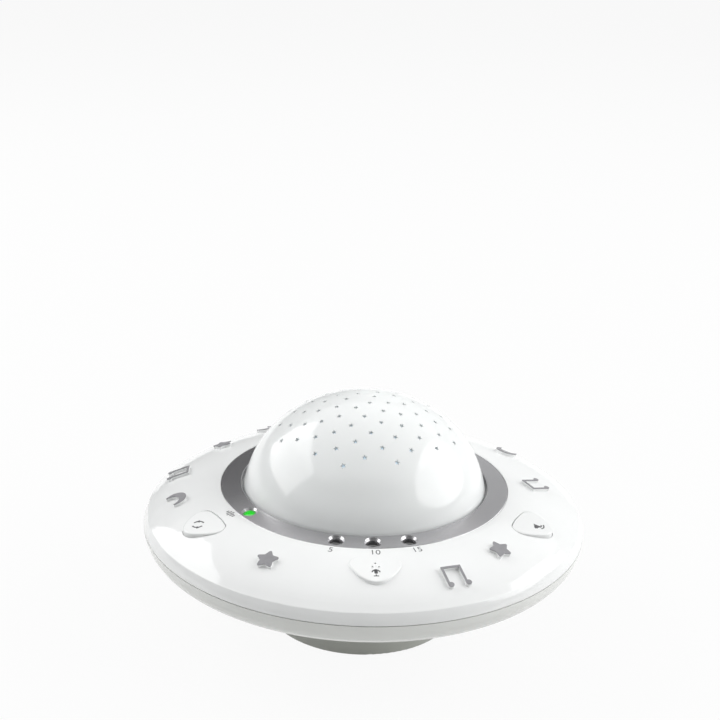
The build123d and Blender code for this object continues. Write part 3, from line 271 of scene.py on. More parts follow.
class SurfaceGraph(Graph):
    """The node tree of one material, with the surface shader at its end."""

    def __init__(self, name: str) -> None:
        """Starts a material whose tree ends in a Principled shader.

        Args:
            name: Name of the material.
        """
        self.material = bpy.data.materials.new(name)
        self.material.use_nodes = True
        super().__init__(self.material.node_tree)
        self.surface = self.node("ShaderNodeBsdfPrincipled")
        self.output = self.node("ShaderNodeOutputMaterial", None, {"Surface": self.surface.outputs["BSDF"]})

    def relief(self, height: Reading, depth: float) -> None:
        """Gives the surface a relief.

        Args:
            height: Height over the surface, as a share of the depth.
            depth: Depth of the relief in metres.
        """
        made = self.node("ShaderNodeBump", None, {"Height": height, "Distance": depth, "Strength": 1.0})
        self.feed(self.surface.inputs["Normal"], made.outputs[0])

    def shade(self, **values: Any) -> None:
        """Feeds the surface shader; a socket's name is written with underscores."""
        for key, value in values.items():
            self.feed(self.surface.inputs[key.replace("_", " ").title().replace("Ior", "IOR")], value)


def scaled(colour: Colour, share: float) -> Colour:
    """The colour made darker, or lighter where the share is over 1.

    Args:
        colour: Colour to start from.
        share: Factor on each channel.

    Returns:
        The scaled colour.
    """
    return (colour[0] * share, colour[1] * share, colour[2] * share)


@dataclass(frozen=True)
class Finish:
    """What all finishes share: a name, a colour and a gloss."""

    name: str
    colour: Colour
    roughness: float

    def material(self) -> bpy.types.Material:
        """The finish as a material, made once."""
        name = f"{self.name}_finish"
        made = bpy.data.materials.get(name)
        if made is None:
            graph = SurfaceGraph(name)
            self.paint(graph)
            made = graph.material
        return made

    def shades(self, tones: Pair) -> list[Colour]:
        """The finish's colour at two brightnesses."""
        return [scaled(self.colour, tone) for tone in tones]

    def paint(self, graph: SurfaceGraph) -> None:
        """Fills the graph with this finish.

        Args:
            graph: Graph of the new material.
        """
        raise NotImplementedError


@dataclass(frozen=True)
class MouldedPlastic(Finish):
    """Injection-moulded plastic: a slow drift of tone, mould grain, and fine handling marks in the gloss."""

    grain_size: float = 0.5 * MM
    grain_depth: float = 0.0
    drift: float = 0.03
    handling: float = 0.04
    flesh: float = 0.0
    flesh_reach: float = 1.5 * MM
    ior: float = 1.5
    cloud_size: float = 24.0 * MM
    grain_gloss: float = 0.03
    rub_scale: Triple = (60.0, 900.0, 300.0)
    rub_turn: Triple = (0.3, 0.2, 0.6)
    rub_edges: Pair = (0.58, 0.72)
    patch_size: float = 9.0 * MM
    patch_edges: Pair = (0.45, 0.75)

    def tone(self, graph: SurfaceGraph, colour: Colour) -> bpy.types.NodeSocket:
        """The colour with its slow drift over the piece."""
        return graph.blend(graph.cloud(self.cloud_size), colour, scaled(colour, 1.0 - self.drift))

    def paint(self, graph: SurfaceGraph) -> None:
        """Fills the graph with this finish.

        Args:
            graph: Graph of the new material.
        """
        grain = graph.noise(self.grain_size)
        rubs = graph.fibres(2.0, self.rub_scale, self.rub_turn).ramp(*self.rub_edges)
        patches = graph.noise(self.patch_size).ramp(*self.patch_edges)
        gloss = self.roughness + grain.centred() * self.grain_gloss + rubs * patches * self.handling
        graph.shade(base_color=self.tone(graph, self.colour), roughness=gloss, ior=self.ior)
        if self.grain_depth:
            graph.relief(grain, self.grain_depth)
        if self.flesh:
            graph.shade(subsurface_weight=self.flesh, subsurface_radius=(1.0, 1.0, 1.0))
            graph.shade(subsurface_scale=self.flesh_reach)


@dataclass(frozen=True)
class FootedShell(MouldedPlastic):
    """Moulded shell whose foot is spark-eroded to a duller texture than the case above it, and painted darker
    as the shadow that the case casts on it.
    """

    # Painted shade: the foot's darker colour stands for the shadow under the case.
    foot_shade_colour: Colour = (0.53, 0.54, 0.5)
    foot_top: float = 15.0 * MM
    foot_edge: float = 0.4 * MM
    foot_roughness: float = 0.42
    foot_grain_depth: float = 0.012 * MM

    def paint(self, graph: SurfaceGraph) -> None:
        """Fills the graph with this finish.

        Args:
            graph: Graph of the new material.
        """
        foot = 1.0 - graph.axis("Z").ramp(self.foot_top - self.foot_edge, self.foot_top + self.foot_edge)
        grain = graph.noise(self.grain_size)
        # Below the foot's top the colour blends to the painted shade; the rougher gloss and grain there are
        # the foot's real texture.
        tone = graph.blend(foot, self.tone(graph, self.colour), self.tone(graph, self.foot_shade_colour))
        gloss = self.roughness + grain.centred() * self.grain_gloss
        graph.shade(base_color=tone, ior=self.ior)
        graph.shade(roughness=gloss + foot * (self.foot_roughness - self.roughness))
        graph.relief(grain * foot, self.foot_grain_depth)


@dataclass(frozen=True)
class LitDiffuser(MouldedPlastic):
    """Milky liner behind the star windows, with the light of the lamp below it painted on as a faint glow."""

    glow: Colour = (0.72, 0.88, 1.0)
    strength: float = 0.48
    glow_patch_size: float = 5.0 * MM
    glow_patch_edges: Pair = (0.25, 0.75)
    glow_patch_share: float = 0.75

    def paint(self, graph: SurfaceGraph) -> None:
        """Fills the graph with this finish.

        Args:
            graph: Graph of the new material.
        """
        super().paint(graph)
        # Painted light: the liner emits in soft uneven patches, standing for the lamp's light that shines
        # through it.
        glow_patch = graph.noise(self.glow_patch_size).ramp(*self.glow_patch_edges)
        graph.shade(emission_color=graph.blend(glow_patch, self.glow, scaled(self.glow, self.glow_patch_share)))
        graph.shade(emission_strength=self.strength)


@dataclass(frozen=True)
class SilverLacquer(Finish):
    """Silver paint on plastic, with fine flakes under a clear top."""

    flake_size: float = 0.08 * MM
    flake_share: float = 0.6
    flake_gloss: float = 0.06
    flake_height: float = 0.0003 * MM
    cloud_size: float = 16.0 * MM
    tones: Pair = (0.94, 1.08)
    metal: float = 0.85
    coat: float = 0.25
    coat_roughness: float = 0.12

    def paint(self, graph: SurfaceGraph) -> None:
        """Fills the graph with this finish.

        Args:
            graph: Graph of the new material.
        """
        cells = {0: graph.cells(self.flake_size, "Color")}
        flakes = Reading(graph, graph.node("ShaderNodeSeparateColor", None, cells).outputs[0])
        share = flakes * self.flake_share + graph.cloud(self.cloud_size) * (1.0 - self.flake_share)
        graph.shade(base_color=graph.blend(share, *self.shades(self.tones)), metallic=self.metal)
        graph.shade(roughness=self.roughness + flakes.centred() * self.flake_gloss)
        graph.shade(coat_weight=self.coat, coat_roughness=self.coat_roughness)
        graph.relief(flakes, self.flake_height)


@dataclass(frozen=True)
class PrintedInk(Finish):
    """Screen-printed ink with a faint weave of its screen and pinholes."""

    mesh_pitch: float = 0.16 * MM
    mesh_height: float = 0.0015 * MM
    hole_size: float = 0.22 * MM
    hole_edges: Pair = (0.72, 0.8)
    hole_share: float = 0.4
    hole_tone: float = 1.5
    cloud_size: float = 2.5 * MM
    cloud_gloss: float = 0.08
    tones: Pair = (0.95, 1.06)

    def paint(self, graph: SurfaceGraph) -> None:
        """Fills the graph with this finish.

        Args:
            graph: Graph of the new material.
        """
        pitch = 2 * math.pi / self.mesh_pitch
        weave = graph.maths("SINE", graph.axis("X") * pitch) * graph.maths("SINE", graph.axis("Y") * pitch)
        holes = graph.noise(self.hole_size).ramp(*self.hole_edges)
        cloud = graph.cloud(self.cloud_size, 2.0)
        tone = graph.blend(cloud, *self.shades(self.tones))
        bare = scaled(self.colour, self.hole_tone)
        graph.shade(base_color=graph.blend(holes * self.hole_share, tone, bare))
        graph.shade(roughness=self.roughness + cloud.centred() * self.cloud_gloss)
        graph.relief(weave * HALF + HALF, self.mesh_height)


@dataclass(frozen=True)
class IndicatorLens(Finish):
    """Tinted epoxy of an indicator light, glowing from its die when lit."""

    glow: Colour = (0.0, 0.0, 0.0)
    strength: float = 0.0
    depth_size: float = 0.8 * MM
    depth_gloss: float = 0.05
    tones: Pair = (0.8, 1.2)
    core_edges: Pair = (0.35, 0.65)
    core_share: float = 0.8
    specular: float = 0.2
    coat: float = 0.05
    coat_roughness: float = 0.03

    def paint(self, graph: SurfaceGraph) -> None:
        """Fills the graph with this finish.

        Args:
            graph: Graph of the new material.
        """
        depth = graph.noise(self.depth_size)
        tone = graph.blend(depth, *self.shades(self.tones))
        graph.shade(base_color=tone, specular_ior_level=self.specular)
        graph.shade(roughness=self.roughness + depth * self.depth_gloss)
        graph.shade(coat_weight=self.coat, coat_roughness=self.coat_roughness)
        if self.strength:
            core = graph.blend(depth.ramp(*self.core_edges), self.glow, scaled(self.glow, self.core_share))
            graph.shade(emission_color=core, emission_strength=self.strength)


@dataclass(frozen=True)
class BoardLaminate(Finish):
    """Glass-fibre board with solder mask over copper tracks and tinned pads."""

    track_pitch: float = 1.6 * MM
    track_edge: float = 0.62
    track_height: float = 0.03 * MM
    block_size: float = 11.0 * MM
    pad_pitch: float = 4.0 * MM
    pad_edges: Pair = (0.78, 0.8)
    pad_colour: Colour = (0.62, 0.6, 0.55)
    pad_metal: float = 0.9
    pad_gloss: float = 0.1
    tones: Pair = (0.7, 1.25)

    def paint(self, graph: SurfaceGraph) -> None:
        """Fills the graph with this finish.

        Args:
            graph: Graph of the new material.
        """
        across = graph.maths("FRACT", graph.axis("X") / self.track_pitch).above(self.track_edge)
        along = graph.maths("FRACT", graph.axis("Y") / self.track_pitch).above(self.track_edge)
        block = graph.noise(self.block_size, 1.0).above(HALF)
        tracks = across * block + along * (1.0 - block)
        pads = (1.0 - Reading(graph, graph.cells(self.pad_pitch))).ramp(*self.pad_edges)
        mask = graph.blend(tracks, *self.shades(self.tones))
        graph.shade(base_color=graph.blend(pads, mask, self.pad_colour), metallic=pads * self.pad_metal)
        graph.shade(roughness=self.roughness + pads * self.pad_gloss)
        graph.relief(tracks, self.track_height)


@dataclass(frozen=True)
class PlatedMetal(Finish):
    """Plated or bare steel, with a drawn grain and a slow stain."""

    grain: Triple = (3000.0, 200.0, 3000.0)
    stain: float = 0.15
    stain_size: float = 3.0 * MM
    stain_edges: Pair = (0.4, 0.75)
    stain_gloss: float = 0.06
    line_gloss: float = 0.18
    line_height: float = 0.003 * MM

    def paint(self, graph: SurfaceGraph) -> None:
        """Fills the graph with this finish.

        Args:
            graph: Graph of the new material.
        """
        lines = graph.fibres(2.0, self.grain)
        stain = graph.noise(self.stain_size, 3.0).ramp(*self.stain_edges)
        colour = graph.blend(stain, self.colour, scaled(self.colour, 1.0 - self.stain))
        gloss = self.roughness + lines.centred() * self.line_gloss + stain * self.stain_gloss
        graph.shade(base_color=colour, metallic=1.0, roughness=gloss)
        graph.relief(lines, self.line_height)


@dataclass(frozen=True)
class MouldedRubber(Finish):
    """Soft rubber with a fine pebble and a dusty bloom."""

    pebble_size: float = 0.35 * MM
    pebble_height: float = 0.02 * MM
    bloom_size: float = 2.0 * MM
    bloom_edges: Pair = (0.45, 0.8)
    bloom_share: float = 0.5
    bloom_tone: float = 1.8
    bloom_gloss: float = 0.1
    sheen: float = 0.15

    def paint(self, graph: SurfaceGraph) -> None:
        """Fills the graph with this finish.

        Args:
            graph: Graph of the new material.
        """
        bloom = graph.noise(self.bloom_size, 3.0).ramp(*self.bloom_edges)
        dusty = scaled(self.colour, self.bloom_tone)
        graph.shade(base_color=graph.blend(bloom * self.bloom_share, self.colour, dusty))
        graph.shade(roughness=self.roughness + bloom * self.bloom_gloss, sheen_weight=self.sheen)
        graph.relief(Reading(graph, graph.cells(self.pebble_size)), self.pebble_height)


@dataclass(frozen=True)
class CellSleeve(Finish):
    """Shrunk sleeve of a battery cell: a plain band at each end, and bare steel beyond the sleeve."""

    band: Colour = (0.05, 0.2, 0.42)
    steel: Colour = (0.6, 0.6, 0.58)
    half_length: float = 24.0 * MM
    band_share: float = 0.62
    sleeve_share: float = 1.02
    wrinkle_scale: Triple = (200.0, 900.0, 200.0)
    wrinkle_gloss: float = 0.1
    wrinkle_height: float = 0.015 * MM

    def paint(self, graph: SurfaceGraph) -> None:
        """Fills the graph with this finish.

        Args:
            graph: Graph of the new material.
        """
        distance = graph.maths("ABSOLUTE", graph.axis("Y"))
        bare = distance.above(self.half_length * self.sleeve_share)
        sleeve = graph.blend(distance.above(self.half_length * self.band_share), self.colour, self.band)
        wrinkle = graph.fibres(3.0, self.wrinkle_scale)
        graph.shade(base_color=graph.blend(bare, sleeve, self.steel), metallic=bare)
        graph.shade(roughness=self.roughness + wrinkle.centred() * self.wrinkle_gloss)
        graph.relief(wrinkle, self.wrinkle_height)


@dataclass(frozen=True)
class PressedPaper(Finish):
    """Felted paper of a loudspeaker cone, with fibres and clumps."""

    fibre_scale: Triple = (2500.0, 700.0, 1500.0)
    fibre_turn: Triple = (0.4, 0.9, 0.2)
    fibre_share: float = 0.6
    clump_size: float = 0.9 * MM
    clump_gloss: float = 0.1
    felt_height: float = 0.04 * MM
    tones: Pair = (0.75, 1.35)

    def paint(self, graph: SurfaceGraph) -> None:
        """Fills the graph with this finish.

        Args:
            graph: Graph of the new material.
        """
        fibres = graph.fibres(4.0, self.fibre_scale, self.fibre_turn)
        clumps = graph.noise(self.clump_size, 3.0)
        graph.shade(base_color=graph.blend(fibres, *self.shades(self.tones)))
        graph.shade(roughness=self.roughness + clumps.centred() * self.clump_gloss)
        graph.relief(fibres * self.fibre_share + clumps * (1.0 - self.fibre_share), self.felt_height)


@dataclass(frozen=True)
class LeadSleeve(Finish):
    """Extruded wire insulation, in two colours so that each pair can be told apart."""

    second: Colour = (0.03, 0.03, 0.035)
    dust: Colour = (0.5, 0.5, 0.5)
    dust_size: float = 1.2 * MM
    dust_edges: Pair = (0.5, 0.8)
    dust_share: float = 0.25
    dust_gloss: float = 0.2
    dust_height: float = 0.004 * MM

    def paint(self, graph: SurfaceGraph) -> None:
        """Fills the graph with this finish.

        Args:
            graph: Graph of the new material.
        """
        dust = graph.noise(self.dust_size, 3.0).ramp(*self.dust_edges)
        colour = graph.blend(graph.axis("X").above(0.0), self.second, self.colour)
        graph.shade(base_color=graph.blend(dust * self.dust_share, colour, self.dust))
        graph.shade(roughness=self.roughness + dust * self.dust_gloss)
        graph.relief(dust, self.dust_height)


@dataclass(frozen=True)
class LampLens(Finish):
    """Phosphor under the clear lens of the lamp, in a white housing."""

    phosphor: Colour = (0.85, 0.7, 0.12)
    phosphor_reach: float = 2.4 * MM
    phosphor_fade: float = 1.15
    cloud_size: float = 0.6 * MM
    cloud_gloss: float = 0.08
    coat: float = 0.6
    coat_roughness: float = 0.04

    def paint(self, graph: SurfaceGraph) -> None:
        """Fills the graph with this finish.

        Args:
            graph: Graph of the new material.
        """
        centre = 1.0 - graph.reach().ramp(self.phosphor_reach, self.phosphor_reach * self.phosphor_fade)
        graph.shade(base_color=graph.blend(centre, self.colour, self.phosphor))
        graph.shade(roughness=self.roughness + graph.noise(self.cloud_size) * self.cloud_gloss)
        graph.shade(coat_weight=self.coat, coat_roughness=self.coat_roughness)


class Part(Enum):
    """The finish of each material slot of the record, and the ink of the printed marks."""

    WHITE_SHELL = MouldedPlastic("white_shell", (0.82, 0.828, 0.826), 0.075, 2.2 * MM, drift=0.015)
    # The underside's colour is a little darker and warmer than the upper shell's: painted shade on the same
    # white plastic.
    WHITE_UNDERSIDE = FootedShell("white_underside", (0.77, 0.777, 0.755), 0.16, 0.6 * MM, drift=0.03)
    DOME_WHITE = MouldedPlastic("dome_white", (0.82, 0.832, 0.828), 0.1, 2.6 * MM, drift=0.015, flesh=0.35)
    WINDOW_DIFFUSER = LitDiffuser("window_diffuser", (0.60, 0.66, 0.72), 0.4, 0.3 * MM, 0.01 * MM)
    SILVER_TRIM = SilverLacquer("silver_trim", (0.46, 0.455, 0.467), 0.22)
    GREY_PRINT = PrintedInk("grey_print", (0.26, 0.257, 0.27), 0.42)
    DARK_PRINT = PrintedInk("dark_print", (0.11, 0.11, 0.115), 0.5)
    KEY_WHITE = MouldedPlastic("key_white", (0.82, 0.828, 0.824), 0.08, 1.6 * MM, drift=0.015)
    GREEN_LIGHT = IndicatorLens("green_light", (0.0, 0.1, 0.01), 0.2, (0.006, 0.9, 0.01), 1.8)
    DARK_LIGHT = IndicatorLens("dark_light", (0.012, 0.012, 0.014), 0.35)
    BLACK_PLASTIC = MouldedPlastic("black_plastic", (0.02, 0.02, 0.022), 0.38, 0.3 * MM, 0.01 * MM, drift=0.2)
    BOARD_GREEN = BoardLaminate("board_green", (0.02, 0.16, 0.06), 0.32)
    CHIP_BLACK = MouldedPlastic("chip_black", (0.025, 0.025, 0.027), 0.5, 0.2 * MM, 0.012 * MM, drift=0.25)
    CARRIER_WHITE = MouldedPlastic("carrier_white", (0.72, 0.72, 0.70), 0.4, 0.5 * MM, 0.01 * MM)
    LAMP_LENS = LampLens("lamp_lens", (0.85, 0.85, 0.83), 0.1)
    HOOD_BLACK = MouldedPlastic("hood_black", (0.018, 0.018, 0.02), 0.6, 0.25 * MM, 0.02 * MM, drift=0.2)
    MIC_METAL = PlatedMetal("mic_metal", (0.55, 0.54, 0.52), 0.35)
    RUBBER_BLACK = MouldedRubber("rubber_black", (0.025, 0.025, 0.026), 0.7)
    RUBBER_GREY = MouldedRubber("rubber_grey", (0.22, 0.22, 0.225), 0.65)
    SCREW_STEEL = PlatedMetal("screw_steel", (0.58, 0.57, 0.55), 0.28, (1500.0, 1500.0, 400.0))
    CONTACT_NICKEL = PlatedMetal("contact_nickel", (0.66, 0.64, 0.60), 0.2, (400.0, 3000.0, 3000.0))
    CELL_WRAP = CellSleeve("cell_wrap", (0.7, 0.72, 0.73), 0.28)
    SPEAKER_STEEL = PlatedMetal("speaker_steel", (0.42, 0.42, 0.43), 0.36, (800.0, 800.0, 800.0))
    MAGNET_DARK = PlatedMetal("magnet_dark", (0.12, 0.12, 0.125), 0.5, (700.0, 700.0, 700.0))
    CONE_PAPER = PressedPaper("cone_paper", (0.045, 0.043, 0.042), 0.85)
    LEAD_SLEEVE = LeadSleeve("lead_sleeve", (0.5, 0.02, 0.015), 0.42)


class Bench:
    """Modelling steps on Blender's own operators, with only the wanted things selected.

    The corner share is of a bar's smaller side, the figure share is of the type size, and an arc's step is in
    degrees.
    """

    CORNER_SHARE = 0.3
    CORNER_STEPS = 3
    ARC_STEP = 12
    LEAST_ARC_STEPS = 6
    WELD_REACH = 0.001 * MM
    FIGURE_SHARE = 0.7
    FIGURE_STEPS = 4

    @staticmethod
    def clear() -> None:
        """Leaves edit mode and deselects everything."""
        if bpy.context.object and bpy.context.object.mode != "OBJECT":
            bpy.ops.object.mode_set(mode="OBJECT")
        bpy.ops.object.select_all(action="DESELECT")

    @classmethod
    def hold(cls, *pieces: bpy.types.Object) -> None:
        """Selects these pieces alone; the first becomes the active one.

        Args:
            pieces: Objects to select.
        """
        cls.clear()
        for piece in pieces:
            piece.select_set(True)
        bpy.context.view_layer.objects.active = pieces[0]

    @classmethod
    def modifier(cls, piece: bpy.types.Object, kind: str, **settings: Any) -> None:
        """Adds a modifier and applies it.

        Args:
            piece: Object that gets it.
            kind: The modifier's type.
            settings: Its settings.
        """
        cls.hold(piece)
        made = piece.modifiers.new(kind.lower(), kind)
        for key, value in settings.items():
            setattr(made, key, value)
        bpy.ops.object.modifier_apply(modifier=made.name)

    @classmethod
    def bar(cls, width: float, height: float, middle: Pair) -> bpy.types.Object:
        """A flat bar with eased corners.

        Args:
            width: Size along X in metres.
            height: Size along Y in metres.
            middle: Place of its middle.

        Returns:
            The bar.
        """
        cls.clear()
        bpy.ops.mesh.primitive_plane_add(size=1.0, location=(*middle, 0.0))
        piece = bpy.context.object
        piece.scale = (width, height, 1.0)
        bpy.ops.object.transform_apply(location=True, rotation=True, scale=True)
        bpy.ops.object.mode_set(mode="EDIT")
        bpy.ops.mesh.select_all(action="SELECT")
        corner = min(width, height) * cls.CORNER_SHARE
        bpy.ops.mesh.bevel(offset=corner, segments=cls.CORNER_STEPS, affect="VERTICES")
        bpy.ops.object.mode_set(mode="OBJECT")
        return piece

    @classmethod
    def arc(cls, radius: float, stroke: float, middle: Pair, start: float, sweep: float) -> bpy.types.Object:
        """A flat curved band, spun from a short edge.

        Args:
            radius: Radius of the band's middle line.
            stroke: Width of the band.
            middle: Centre of its circle.
            start: Angle of its first end, in degrees from +X.
            sweep: Angle that it runs through, in degrees.

        Returns:
            The band.
        """
        cls.clear()
        angle = math.radians(start)
        spot = Vector((math.cos(angle), math.sin(angle), 0.0))
        bpy.ops.mesh.primitive_plane_add(size=1.0, location=(0.0, 0.0, 0.0))
        piece = bpy.context.object
        bpy.ops.object.mode_set(mode="EDIT")
        bpy.ops.mesh.select_all(action="SELECT")
        bpy.ops.mesh.merge(type="CENTER")
        bpy.ops.transform.translate(value=(*middle, 0.0))
        bpy.ops.transform.translate(value=spot * (radius - stroke / 2))
        bpy.ops.mesh.extrude_region_move(TRANSFORM_OT_translate={"value": spot * stroke})
        bpy.ops.mesh.select_all(action="SELECT")
        steps = max(cls.LEAST_ARC_STEPS, int(abs(sweep) / cls.ARC_STEP))
        bpy.ops.mesh.spin(
            steps=steps, dupli=False, angle=math.radians(sweep), use_normal_flip=False,
            center=(*middle, 0.0), axis=(0.0, 0.0, 1.0),
        )
        bpy.ops.mesh.select_all(action="SELECT")
        bpy.ops.mesh.remove_doubles(threshold=cls.WELD_REACH)
        bpy.ops.object.mode_set(mode="OBJECT")
        return piece

    @classmethod
    def disc(cls, radius: float, middle: Pair, corners: int = 32, turn: float = 0.0) -> bpy.types.Object:
        """A flat filled disc, or a triangle where it has three corners.

        Args:
            radius: Its radius.
            middle: Its centre.
            corners: Number of corners.
            turn: Angle about Z in radians.

        Returns:
            The disc.
        """
        cls.clear()
        bpy.ops.mesh.primitive_circle_add(
            vertices=corners, radius=radius, fill_type="NGON",
            location=(*middle, 0.0), rotation=(0.0, 0.0, turn),
        )
        bpy.ops.object.transform_apply(location=True, rotation=True, scale=True)
        return bpy.context.object

    @classmethod
    def figure(cls, text: str, height: float) -> bpy.types.Object:
        """Plain figures as a flat mesh, centred.

        Args:
            text: What they read.
            height: Height of the figures in metres.

        Returns:
            The mesh.
        """
        cls.clear()
        bpy.ops.object.text_add(location=(0.0, 0.0, 0.0))
        piece = bpy.context.object
        piece.data.body = text
        piece.data.size = height / cls.FIGURE_SHARE
        piece.data.align_x = "CENTER"
        piece.data.align_y = "CENTER"
        piece.data.resolution_u = cls.FIGURE_STEPS
        bpy.ops.object.convert(target="MESH")
        return bpy.context.object

    @classmethod
    def join(cls, name: str, pieces: Sequence[bpy.types.Object]) -> bpy.types.Object:
        """Joins flat pieces into one.

        Args:
            name: Name of the joined piece.
            pieces: What is joined.

        Returns:
            The joined piece.
        """
        cls.hold(*pieces)
        if len(pieces) > 1:
            bpy.ops.object.join()
        made = bpy.context.object
        made.name = name
        made.data.name = name
        return made


@dataclass
class Mark:
    """One printed mark: flat ink that follows the surface it is printed on.

    A mark's own X runs round the case, and its own Y points at the middle of the dome.
    """

    name: str
    offset: float
    radius: float
    node: str
    body: str
    ink_thickness: float = 0.06 * MM
    lift: float = 0.03 * MM

    def shape(self) -> list[bpy.types.Object]:
        """The flat shapes that make up the mark, about the origin."""
        raise NotImplementedError

    def turn(self) -> Matrix:
        """Turn from the front to this mark's place round the case."""
        return Matrix.Rotation(math.radians(self.offset), 4, "Z")

    def spot(self) -> Matrix:
        """Place on the carrying surface, square to it.

        Returns:
            The matrix from the mark's own plane to the frame.
        """
        above = self.turn() @ Vector((0.0, -self.radius, 1.0))
        hit, where, normal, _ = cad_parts[self.node].ray_cast(above, Vector((0.0, 0.0, -1.0)))
        if not hit:
            raise RuntimeError(f"{self.name} has nothing under it")
        across = self.turn() @ Vector((1.0, 0.0, 0.0))
        across = (across - normal * across.dot(normal)).normalized()
        upward = normal.cross(across)
        rows = Matrix((across, upward, normal)).transposed().to_4x4()
        return Matrix.Translation(where) @ rows

    def build(self) -> bpy.types.Object:
        """Builds the mark in its place.

        Returns:
            The finished print.
        """
        piece = Bench.join(self.name, self.shape())
        Bench.modifier(piece, "TRIANGULATE")
        piece.data.transform(self.spot())
        Bench.modifier(
            piece, "SHRINKWRAP", target=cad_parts[self.node], wrap_method="NEAREST_SURFACEPOINT",
            wrap_mode="ABOVE_SURFACE", offset=self.lift,
        )
        Bench.modifier(piece, "SOLIDIFY", thickness=self.ink_thickness, offset=-1.0)
        piece.data.materials.clear()
        piece.data.materials.append(Part.DARK_PRINT.value.material())
        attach(piece, self.body)
        return piece


@dataclass
class FigureMark(Mark):
    """Plain figures beside a timer light."""

    text: str = "5"
    height: float = 3.0 * MM

    def shape(self) -> list[bpy.types.Object]:
        """The figures."""
        return [Bench.figure(self.text, self.height)]


@dataclass
class CycleMark(Mark):
    """Two arrows that chase round a circle, for the key that changes the mode."""

    circle: float = 2.3 * MM
    stroke: float = 0.62 * MM
    starts: Pair = (20.0, 200.0)
    sweep: float = 120.0
    head_lead: float = 12.0
    head_share: float = 1.7

    def shape(self) -> list[bpy.types.Object]:
        """Two arcs with an arrowhead each."""
        shapes = []
        for start in self.starts:
            shapes.append(Bench.arc(self.circle, self.stroke, (0.0, 0.0), start, self.sweep))
            end = math.radians(start + self.sweep + self.head_lead)
            middle = (math.cos(end) * self.circle, math.sin(end) * self.circle)
            shapes.append(Bench.disc(self.stroke * self.head_share, middle, 3, end))
        return shapes


@dataclass
class SpeakerMark(Mark):
    """A loudspeaker with two waves, for the volume key.

    Its shares and shifts are parts of its height.
    """

    height: float = 4.6 * MM
    stroke: float = 0.48 * MM
    box_shares: Pair = (0.24, 0.36)
    box_shift: float = -0.42
    horn_share: float = 0.46
    horn_shift: float = -0.2
    wave_shares: Pair = (0.34, 0.58)
    wave_half: float = 42.0

    def shape(self) -> list[bpy.types.Object]:
        """Box, horn and two waves."""
        width, depth = (self.height * share for share in self.box_shares)
        box = Bench.bar(width, depth, (self.height * self.box_shift, 0.0))
        horn_middle = (self.height * self.horn_shift, 0.0)
        horn = Bench.disc(self.height * self.horn_share, horn_middle, 3, math.radians(90))
        waves = [
            Bench.arc(self.height * share, self.stroke, (0.0, 0.0), -self.wave_half, 2 * self.wave_half)
            for share in self.wave_shares
        ]
        return [box, horn, *waves]


@dataclass
class MicMark(Mark):
    """A microphone in its cradle, under the sound holes.

    Its shares and shifts are parts of its height.
    """

    height: float = 4.0 * MM
    stroke: float = 0.5 * MM
    capsule_share: float = 0.34
    capsule_stretch: float = 1.1
    capsule_shift: float = 0.24
    cradle_share: float = 0.36
    cradle_shift: float = 0.12
    stem_share: float = 0.2
    stem_shift: float = -0.32
    foot_share: float = 0.5
    foot_shift: float = -0.44

    def shape(self) -> list[bpy.types.Object]:
        """Capsule, cradle, stem and foot."""
        capsule, middle = self.height * self.capsule_share, self.height * self.capsule_shift
        cradle, stem = self.height * self.cradle_share, self.height * self.stem_share
        foot = self.height * self.foot_share
        parts = [Bench.bar(capsule, capsule * self.capsule_stretch, (0.0, middle))]
        for side in (-HALF, HALF):
            parts.append(Bench.disc(capsule / 2, (0.0, middle + side * capsule * self.capsule_stretch)))
        parts.append(Bench.arc(cradle, self.stroke, (0.0, self.height * self.cradle_shift), 180.0, 180.0))
        parts.append(Bench.bar(self.stroke, stem, (0.0, self.height * self.stem_shift)))
        parts.append(Bench.bar(foot, self.stroke, (0.0, self.height * self.foot_shift)))
        return parts


@dataclass
class SoundMark(Mark):
    """Five bars of a sound wave, beside the light that wakes to sound."""

    pitch: float = 1.2 * MM
    stroke: float = 0.62 * MM
    heights: tuple[float, ...] = (1.3 * MM, 2.6 * MM, 3.6 * MM, 2.2 * MM, 1.5 * MM)

    def shape(self) -> list[bpy.types.Object]:
        """The bars."""
        middle = (len(self.heights) - 1) / 2
        return [
            Bench.bar(self.stroke, height, ((index - middle) * self.pitch, 0.0))
            for index, height in enumerate(self.heights)
        ]


def wear(node: str, part: Part) -> None:
    """Gives a CAD node its finish.

    Args:
        node: Name of the node.
        part: Which finish it wears.
    """
    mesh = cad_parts[node].data
    mesh.materials.clear()
    mesh.materials.append(part.value.material())
    log.info("%s wears %s", node, part.value.name)


class SubAssembly:
    """What every sub-assembly does: it dresses its CAD nodes and builds what it adds to them."""

    worn: ClassVar[dict[str, Part]]

    def dress(self) -> None:
        """Gives each CAD node its finish."""
        for node, part in self.worn.items():
            wear(node, part)

    def build(self) -> list[bpy.types.Object]:
        """The pieces that it adds, which are none unless it says otherwise."""
        return []


@dataclass
class UpperCase(SubAssembly):
    """The glossy upper shell with its moulded ornaments, and the marks printed on it."""

    figure_radius: float = 64.7 * MM
    figure_offsets: tuple[float, ...] = (-15.0, 0.4, 15.2)
    figures: tuple[str, ...] = ("5", "10", "15")
    mic_mark_radius: float = 77.4 * MM
    sound_mark_offset: float = -61.2
    sound_mark_radius: float = 64.6 * MM

    worn = {
        "upper_shell": Part.WHITE_SHELL,
        "star_caps": Part.GREY_PRINT,
        "note_caps": Part.GREY_PRINT,
        "moon_caps": Part.GREY_PRINT,
    }

    def build(self) -> list[bpy.types.Object]:
        """Prints the marks.

        Returns:
            The prints.
        """
        marks: list[Mark] = [
            FigureMark(f"timer_figure_{text}", offset, self.figure_radius, "upper_shell", "case", text=text)
            for text, offset in zip(self.figures, self.figure_offsets)
        ]
        marks.append(MicMark("mic_mark", 0.0, self.mic_mark_radius, "upper_shell", "case"))
        marks.append(
            SoundMark("sound_mark", self.sound_mark_offset, self.sound_mark_radius, "upper_shell", "case")
        )
        return [mark.build() for mark in marks]


